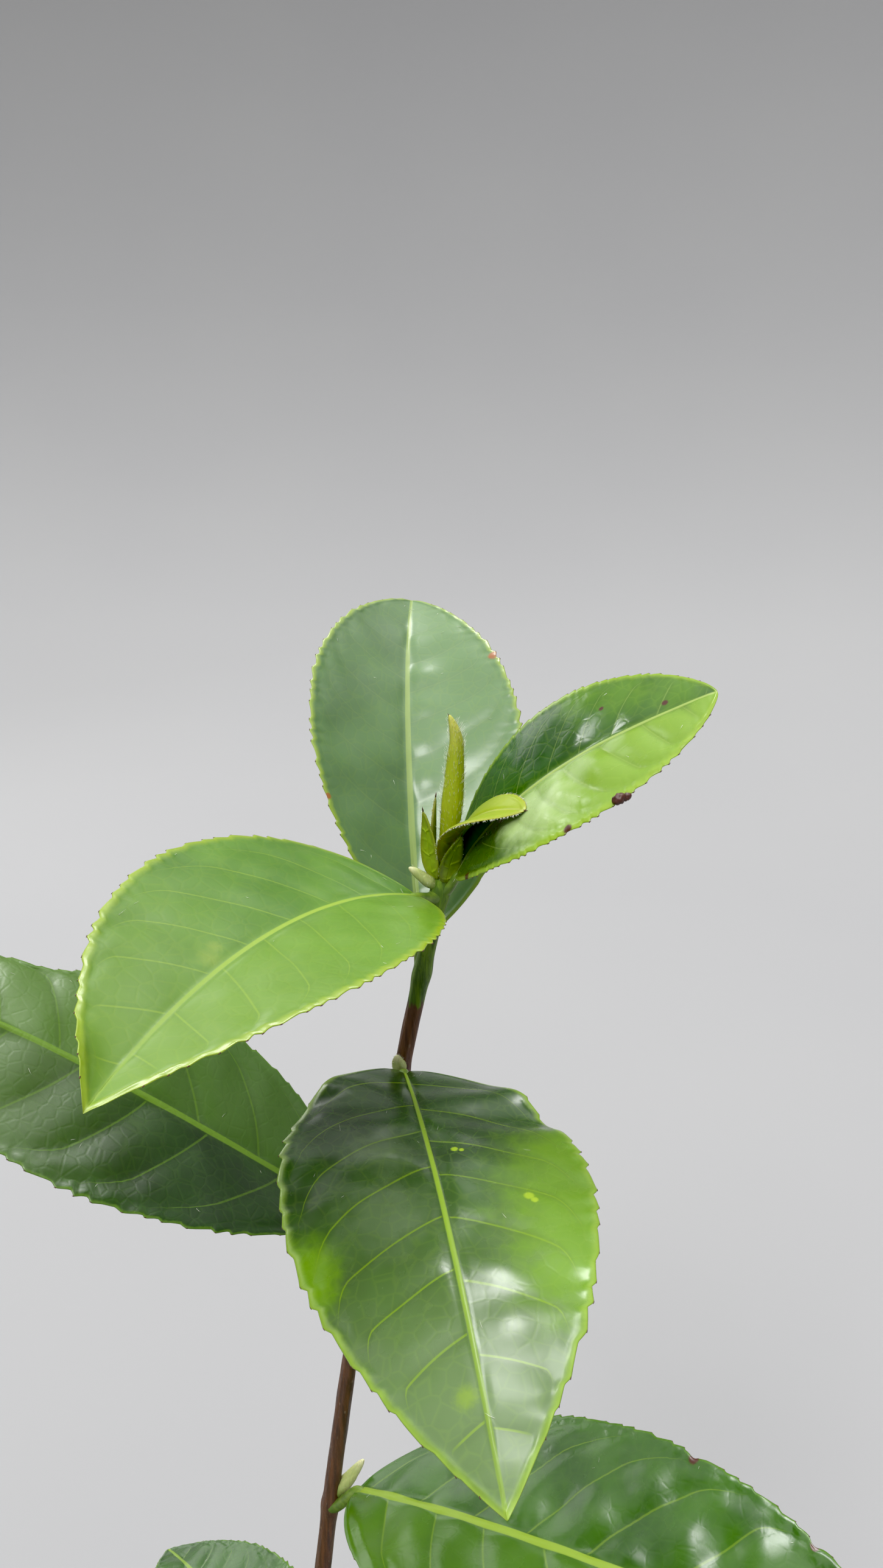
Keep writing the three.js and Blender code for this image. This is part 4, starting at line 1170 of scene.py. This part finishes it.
def make_stem():
    """The stem, with the relief of its bark and a ridge down from each leaf."""
    height = np.linspace(STEM_FOOT - STEM_SUNK, STEM_TOP, STEM_RINGS)
    h, a = np.meshgrid(height, turns(STEM_SIDES), indexing="ij")
    radii = stem_radius(height)[:, None]
    for leaf in LEAVES.values():
        off = nearest_turn(a - math.radians(leaf["heading"]))
        below = leaf["height"] - h
        fade = np.exp(-np.maximum(0, below) / STEM_RIDGE_LENGTH)
        radii = radii + STEM_RIDGE * bell(off, STEM_RIDGE_WIDTH) * fade * smooth_step(-1.6, 0.4, below)
    barked = 1 - smooth_step(BARK_TO - 1, BARK_TO + 1, h)
    lines = ripple(3.2 * np.cos(a), 3.2 * np.sin(a) + 0.09 * h, 1.6, BARK_SEED)
    knots = ripple(2.4 * np.cos(a) + 0.5 * h, 2.4 * np.sin(a), 3.5, BARK_SEED + 1)
    radii = radii + barked * (BARK_RELIEF * lines + BARK_RELIEF * knots) + (1 - barked) * GREEN_RELIEF * lines
    shape = Shape()
    shape.tube(stem_point(height), np.broadcast_to(UP, (len(height), 3)), radii, STEM_SIDES, guide=BACK)
    shape.build("stem_bark", [stem_material()], "stem", ["main_stem"])


def stem_material():
    """Green near the tip, then red-brown bark with tan streaks, darker and rougher lower down."""
    nodes = Nodes("stem_bark", roughness=0.5)
    z = nodes.parts(nodes.place())[2]
    streaks = nodes.noise(nodes.place((1.5, 1.5, 0.16)), 0.9, 4.0, 0.6)
    grain = nodes.noise(nodes.place((2.2, 2.2, 0.5)), 1.6, 4.0, 0.6)
    green = nodes.over((0.04, 0.095, 0.001), (0.125, 0.225, 0.004), streaks, 0.35, 0.65)
    young = nodes.over((0.06, 0.02, 0.009), (0.14, 0.052, 0.02), streaks, 0.3, 0.62)
    young = nodes.over(young, (0.26, 0.15, 0.07), streaks, 0.62, 0.74, 0.0, 0.8)
    old = nodes.over((0.045, 0.017, 0.006), (0.12, 0.046, 0.016), streaks, 0.3, 0.7)
    old = nodes.over(old, (0.14, 0.1, 0.06), grain, 0.58, 0.75, 0.0, 0.45)
    bark = nodes.over(old, young, z, OLD_BARK_TO, YOUNG_BARK_FROM)
    pores = nodes.cells(nodes.place((1, 1, 0.55)), 0.75, "F1")
    bark = nodes.over(bark, (0.2, 0.14, 0.08), pores, 0.08, 0.2, 0.5, 0.0)
    wavy = nodes.plus(z, nodes.times(nodes.math("SUBTRACT", streaks, 0.5), 5))
    colour = nodes.over(bark, green, wavy, BARK_TO - 0.5, BARK_TO + 0.7)
    height = nodes.plus(grain, nodes.step(pores, 0.08, 0.22, 0.6, 0.0))
    roughness = nodes.step(grain, 0.3, 0.7, 0.42, 0.62)
    return nodes.finish(colour, roughness, nodes.bump(height, 0.2, 0.6))


# Pot and potting mix.

def arc(centre_radius, centre_height, radius, start, end, steps=6):
    """Points of a round corner of a turned profile, with angles in degrees from outward."""
    turn = np.radians(np.linspace(start, end, steps))
    return list(zip(centre_radius + radius * np.cos(turn), centre_height + radius * np.sin(turn)))


def pot_inner_radius(height):
    slope = (POT_NECK_RADIUS - POT_FOOT_RADIUS) / (POT_HEIGHT - POT_RIM_DEPTH)
    return POT_FOOT_RADIUS + slope * height - POT_WALL


def pot_profile():
    """The pot's closed section, from the middle of its underside out, up, in and down to the floor."""
    neck = POT_HEIGHT - POT_RIM_DEPTH
    slope = (POT_NECK_RADIUS - POT_FOOT_RADIUS) / neck
    foot_inner = POT_FOOT_RADIUS - FOOT_RING
    drained = DRAIN_CIRCLE - 2 * DRAIN_RADIUS
    profile = [(drained, FOOT_RECESS), (foot_inner - 1, FOOT_RECESS), (foot_inner, 0.3)]
    profile += [(foot_inner + 0.4, 0), (POT_FOOT_RADIUS - 1.4, 0)]
    profile += arc(POT_FOOT_RADIUS - FOOT_ROUND, FOOT_ROUND, FOOT_ROUND, -80, -5)
    profile += [(POT_FOOT_RADIUS + slope * height, height) for height in np.linspace(5, neck - 5, 24)]
    for below, proud in ((4, 0), (3.4, BEAD_OUT), (2.2, BEAD_OUT), (1.6, 0)):
        profile.append((POT_FOOT_RADIUS + slope * (neck - below) + proud, neck - below))
    profile.append((POT_NECK_RADIUS, neck - 0.1))
    profile += arc(POT_RIM_RADIUS - LIP_ROUND, neck + LIP_ROUND, LIP_ROUND, -90, 0)
    for above, depth in ((4, 0), (4.4, GROOVE_DEPTH), (5, GROOVE_DEPTH), (5.4, 0)):
        profile.append((POT_RIM_RADIUS - depth, neck + above))
    profile += arc(POT_RIM_RADIUS - RIM_ROUND, POT_HEIGHT - RIM_ROUND, RIM_ROUND, 0, 90)
    profile += arc(pot_inner_radius(POT_HEIGHT) + RIM_ROUND, POT_HEIGHT - RIM_ROUND, RIM_ROUND, 90, 180)
    inside = np.linspace(POT_HEIGHT - 4, POT_FLOOR + 2, 16)
    profile += [(pot_inner_radius(height), height) for height in inside]
    return profile + [(pot_inner_radius(POT_FLOOR) - 1.5, POT_FLOOR), (drained, POT_FLOOR)]


def turned_points(profile, sides):
    """A section turned round the upright axis: one ring for each of its points."""
    radius, height = np.array(profile).T[..., None]
    angle = turns(sides)
    return np.stack([radius * np.cos(angle), radius * np.sin(angle), height + 0 * angle], axis=-1)


def make_pot():
    """A plain nursery pot with a foot ring, a bead under its rim and drainage holes."""
    shape = Shape()
    shape.skin(turned_points(pot_profile(), POT_SIDES), ([0, 0, FOOT_RECESS], [0, 0, POT_FLOOR]))
    pot = shape.build("nursery_pot", [pot_material()], "pot", ["pot"])
    drains = Shape()
    for angle in 2 * math.pi * (np.arange(DRAIN_COUNT) + 0.5) / DRAIN_COUNT:
        ends = DRAIN_CIRCLE * direction(angle, 0) + [-3 * UP, 6 * UP]
        drains.tube(ends, np.stack([UP, UP]), [DRAIN_RADIUS] * 2, DRAIN_SIDES, guide=BACK)
    cutter = drains.build("drain_cutter", [], "pot")
    cut = pot.modifiers.new("drains", "BOOLEAN")
    cut.operation = "DIFFERENCE"
    cut.solver = "EXACT"
    cut.object = cutter
    bpy.context.view_layer.update()
    graph = bpy.context.evaluated_depsgraph_get()
    mesh = bpy.data.meshes.new_from_object(pot.evaluated_get(graph))
    pot.modifiers.clear()
    pot.data = mesh
    bpy.data.objects.remove(cutter)


def pot_material():
    """Charcoal moulded plastic: satin, finely grained, a little dusty low down and scuffed on the rim."""
    nodes = Nodes("pot_plastic", roughness=0.5)
    z = nodes.parts(nodes.place())[2]
    grain = nodes.noise(nodes.place(), 2.2)
    stains = nodes.noise(nodes.place((1, 1, 0.3)), 0.05, 5.0, 0.6)
    colour = nodes.over((0.018, 0.0185, 0.02), (0.03, 0.031, 0.034), stains, 0.4, 0.7)
    dust = nodes.times(nodes.step(z, 2, 40, 0.5, 0.0), nodes.step(stains, 0.35, 0.65))
    colour = nodes.mix(dust, colour, (0.1, 0.088, 0.075))
    scuffs = nodes.noise(nodes.place((0.3, 0.3, 4)), 0.6, 4.0, 0.7)
    rim = nodes.times(nodes.step(z, 108, 112), nodes.step(scuffs, 0.62, 0.75, 0.0, 0.35))
    colour = nodes.mix(rim, colour, (0.08, 0.08, 0.083))
    roughness = nodes.step(stains, 0.3, 0.7, 0.4, 0.6)
    return nodes.finish(colour, roughness, nodes.bump(nodes.plus(grain, nodes.times(scuffs, 0.4)), 0.1, 0.4))


def soil_height(x, y):
    """The uneven top of the potting mix: a little mounded at the stem and sunken at the pot's wall."""
    away = np.hypot(x, y)
    lumps = sum(height * ripple(x, y, wavelength, seed) for height, wavelength, seed in SOIL_LUMPS)
    sunk = WALL_SINK * smooth_step(46, 58, away)
    return SOIL_TOP + lumps * smooth_step(1, 12, away) - sunk + STEM_MOUND * bell(away, MOUND_REACH)


def make_soil():
    """The potting mix: one uneven body, with chips of bark, grains of perlite and fibres lying in its top."""
    foot = POT_FLOOR + SOIL_GAP
    reach = np.linspace(0.6, pot_inner_radius(SOIL_TOP) - SOIL_GAP, SOIL_RINGS)
    top = turned_points([(r, 0) for r in reach], SOIL_SIDES)
    top[..., 2] = soil_height(top[..., 0], top[..., 1])
    wall = [(pot_inner_radius(h) - SOIL_GAP, h) for h in np.linspace(SOIL_TOP - 5, foot, 8)]
    rings = np.concatenate([top, turned_points(wall, SOIL_SIDES)])[::-1]
    shape = Shape()
    shape.skin(rings, ([0, 0, foot], [0, 0, soil_height(0.0, 0.0)]))
    bed = soil_material("mix_bed", (0.008, 0.0045, 0.0025), (0.032, 0.018, 0.009))
    shape.build("mix_bed", [bed], "potting_mix", ["potting_mix"])
    grains("mix_chips", CHIP_COUNT, GRAIN_SEED, CHIP_SIZES, CHIP_FORM,
           soil_material("bark_chips", (0.013, 0.006, 0.003), (0.085, 0.038, 0.018)))
    grains("mix_perlite", PERLITE_COUNT, GRAIN_SEED + 1, PERLITE_SIZES, PERLITE_FORM,
           soil_material("perlite", (0.27, 0.265, 0.245), (0.48, 0.475, 0.45)))
    fibres()


def soil_material(name, dark, light):
    nodes = Nodes(name, roughness=0.9)
    lumps = nodes.noise(nodes.place(), 0.35, 5.0, 0.65)
    crumbs = nodes.noise(nodes.place(), 2.5, 4.0, 0.7)
    colour = nodes.over(dark, light, lumps, 0.35, 0.65)
    colour = nodes.over(colour, tuple(0.45 * c for c in light), crumbs, 0.4, 0.7, 0.0, 0.4)
    return nodes.finish(colour, None, nodes.bump(crumbs, 0.5, 0.8))


def icosahedron():
    """The twelve corners of a regular body with twenty sides, at a distance of 1, and its triangles."""
    golden = (1 + 5 ** 0.5) / 2
    corners = [(0, a, b) for a in (-1, 1) for b in (-golden, golden)]
    turned = [(b, 0, a) for _, a, b in corners] + [(a, b, 0) for _, a, b in corners]
    corners = unit(np.array(corners + turned))
    close = np.linalg.norm(corners[:, None] - corners, axis=2) < 1.2
    faces = [(i, j, k) for i in range(12) for j in range(i + 1, 12) for k in range(i + 1, 12)
             if j != k and close[i, j] and close[j, k] and close[k, i]
             and np.dot(np.cross(corners[j] - corners[i], corners[k] - corners[i]), corners[i]) > 0]
    return corners, faces


def grains(name, count, seed, sizes, form, material):
    """Irregular grains strewn over the mix, as one joined mesh."""
    draw = np.random.default_rng(seed)
    corners, faces = icosahedron()
    shape = Shape()
    for _ in range(count):
        size = draw.uniform(*sizes)
        away = (pot_inner_radius(SOIL_TOP) - GRAINS_IN - size) * math.sqrt(draw.uniform(0.004, 1))
        turn = draw.uniform(0, 2 * math.pi)
        x, y = away * math.cos(turn), away * math.sin(turn)
        form_now = size * np.array(form) * draw.uniform(0.75, 1.25, 3)
        body = corners * draw.uniform(0.75, 1.15, (len(corners), 1)) * form_now
        a, b = draw.uniform(0, 2 * math.pi), draw.normal() * 0.5
        spin = np.array([[math.cos(a), -math.sin(a), 0], [math.sin(a), math.cos(a), 0], [0, 0, 1]])
        tilt = np.array([[1, 0, 0], [0, math.cos(b), -math.sin(b)], [0, math.sin(b), math.cos(b)]])
        centre = [x, y, soil_height(x, y) + 0.1 * size]
        shape.add(body @ tilt.T @ spin.T + centre, [tuple(shape.count + i for i in face) for face in faces])
    shape.build(name, [material], "potting_mix", smooth=False)


def fibres():
    """Thin curved fibres of peat and coir on the mix, as one joined mesh."""
    draw = np.random.default_rng(FIBRE_SEED)
    steps = np.arange(FIBRE_STEPS)
    shape = Shape()
    for _ in range(FIBRE_COUNT):
        away, turn = FIBRE_REACH * math.sqrt(draw.uniform(0.01, 1)), draw.uniform(0, 2 * math.pi)
        heading, bend = draw.uniform(0, 2 * math.pi), draw.normal() * 0.12
        length = draw.uniform(*FIBRE_LENGTHS)
        angle = heading + bend * steps
        x = away * math.cos(turn) + np.cumsum(np.cos(angle)) * length / FIBRE_STEPS
        y = away * math.sin(turn) + np.cumsum(np.sin(angle)) * length / FIBRE_STEPS
        if np.hypot(x, y).max() > pot_inner_radius(SOIL_TOP) - 2:
            continue
        arch = np.sin(steps / (FIBRE_STEPS - 1) * math.pi) * draw.uniform(0, 1)
        centres = np.stack([x, y, soil_height(x, y) + 0.35 + 0.5 * arch], axis=1)
        radii = draw.uniform(*FIBRE_RADII) * np.sin(np.linspace(0.4, math.pi - 0.4, FIBRE_STEPS))
        shape.tube(centres, unit(np.gradient(centres, axis=0)), radii, FIBRE_SIDES)
    skin = soil_material("fibres", (0.038, 0.019, 0.01), (0.13, 0.075, 0.037))
    shape.build("mix_fibres", [skin], "potting_mix")


def make_plant():
    hairs, dark = Shape(), Shape()
    make_stem()
    make_leaves(hairs, dark)
    make_buds(hairs)
    make_tip(hairs, dark)
    silver = two_tone("silver_hair", 0.4, 0.5, (0.68, 0.7, 0.55), (0.9, 0.9, 0.82))
    hairs.build("silver_hairs", [silver], "flush")
    brown = two_tone("dark_tips", 0.45, 1.5, (0.02, 0.005, 0.003), (0.09, 0.02, 0.008))
    dark.build("dark_tips", [brown], "flush")


def make_camera():
    camera = bpy.data.objects.new("camera", bpy.data.cameras.new("camera"))
    bpy.context.scene.collection.objects.link(camera)
    camera.data.sensor_width = SENSOR
    camera.data.lens = PHOTO_FOCAL / PHOTO_HEIGHT * SENSOR
    camera.data.clip_start = CAMERA_NEAR
    camera.location = [c * MM for c in CAMERA_PLACE]
    camera.rotation_euler = (math.radians(90 - CAMERA_PITCH), 0, 0)
    bpy.context.scene.camera = camera


def make_stage():
    """A pale floor that curves up into a wall all round."""
    turn = np.linspace(0, math.pi / 2, 17)
    reach = np.concatenate([[0.05], FLOOR_REACH + COVE_RADIUS * np.sin(turn), [FLOOR_REACH + COVE_RADIUS]])
    rise = np.concatenate([[0], COVE_RADIUS * (1 - np.cos(turn)), [WALL_TOP]])
    points = turned_points(list(zip(reach, rise)), STAGE_SIDES).reshape(-1, 3)
    faces = loft_faces(len(reach), STAGE_SIDES, 0) + fan_faces(0, STAGE_SIDES, len(points), False)
    mesh = bpy.data.meshes.new("floor")
    mesh.from_pydata(points.tolist() + [(0, 0, 0)], [], faces)
    mesh.polygons.foreach_set("use_smooth", [True] * len(faces))
    mesh.materials.append(two_tone("floor_paper", 0.8, 0.002, (0.24, 0.24, 0.245), (0.26, 0.26, 0.26)))
    stage = bpy.data.objects.new("floor", mesh)
    bpy.context.scene.collection.objects.link(stage)
    view = bpy.context.scene.view_settings
    view.view_transform = "Standard"
    view.use_curve_mapping = True
    view.curve_mapping.black_level = (BLACK_LEVEL,) * 3
    view.curve_mapping.white_level = (WHITE_LEVEL,) * 3
    view.curve_mapping.update()


def make_light():
    """A surround that is brightest overhead, lamps above, in front and at the left, and one behind."""
    world = bpy.data.worlds.new("surround")
    world.use_nodes = True
    tree = world.node_tree
    place = tree.nodes.new("ShaderNodeTexCoord")
    parts = tree.nodes.new("ShaderNodeSeparateXYZ")
    rise = tree.nodes.new("ShaderNodeMapRange")
    rise.interpolation_type = "SMOOTHSTEP"
    for socket, value in zip(rise.inputs[1:5], (LIGHT_FROM, 1.0, LOW_LIGHT, LOW_LIGHT + HIGH_LIGHT)):
        socket.default_value = value
    tree.links.new(place.outputs["Generated"], parts.inputs[0])
    tree.links.new(parts.outputs["Z"], rise.inputs[0])
    tree.links.new(rise.outputs[0], tree.nodes["Background"].inputs["Strength"])
    tree.nodes["Background"].inputs["Color"].default_value = (1, 1, 1, 1)
    bpy.context.scene.world = world
    for name, (aim, wide, power) in (("overhead", OVERHEAD), ("front", FRONT), ("left", LEFT)):
        lamp = add_lamp(name, "SUN", aim, power)
        lamp.data.angle = math.radians(wide)
    aim, radius, power = BACK_LEFT
    lamp = add_lamp("back_left", "AREA", aim, power)
    lamp.data.shape = "DISK"
    lamp.data.size = 2 * radius
    lamp.location = Vector(stem_point(STEM_TOP)) * MM + Vector(aim).normalized() * BACK_LEFT_AWAY
    lamp.visible_camera = False


def add_lamp(name, kind, aim, power):
    lamp = bpy.data.objects.new(name, bpy.data.lights.new(name, kind))
    lamp.data.energy = power
    lamp.rotation_euler = Vector(aim).to_track_quat("Z", "Y").to_euler()
    bpy.context.scene.collection.objects.link(lamp)
    return lamp


make_plant()
make_pot()
make_soil()
make_camera()
make_stage()
make_light()
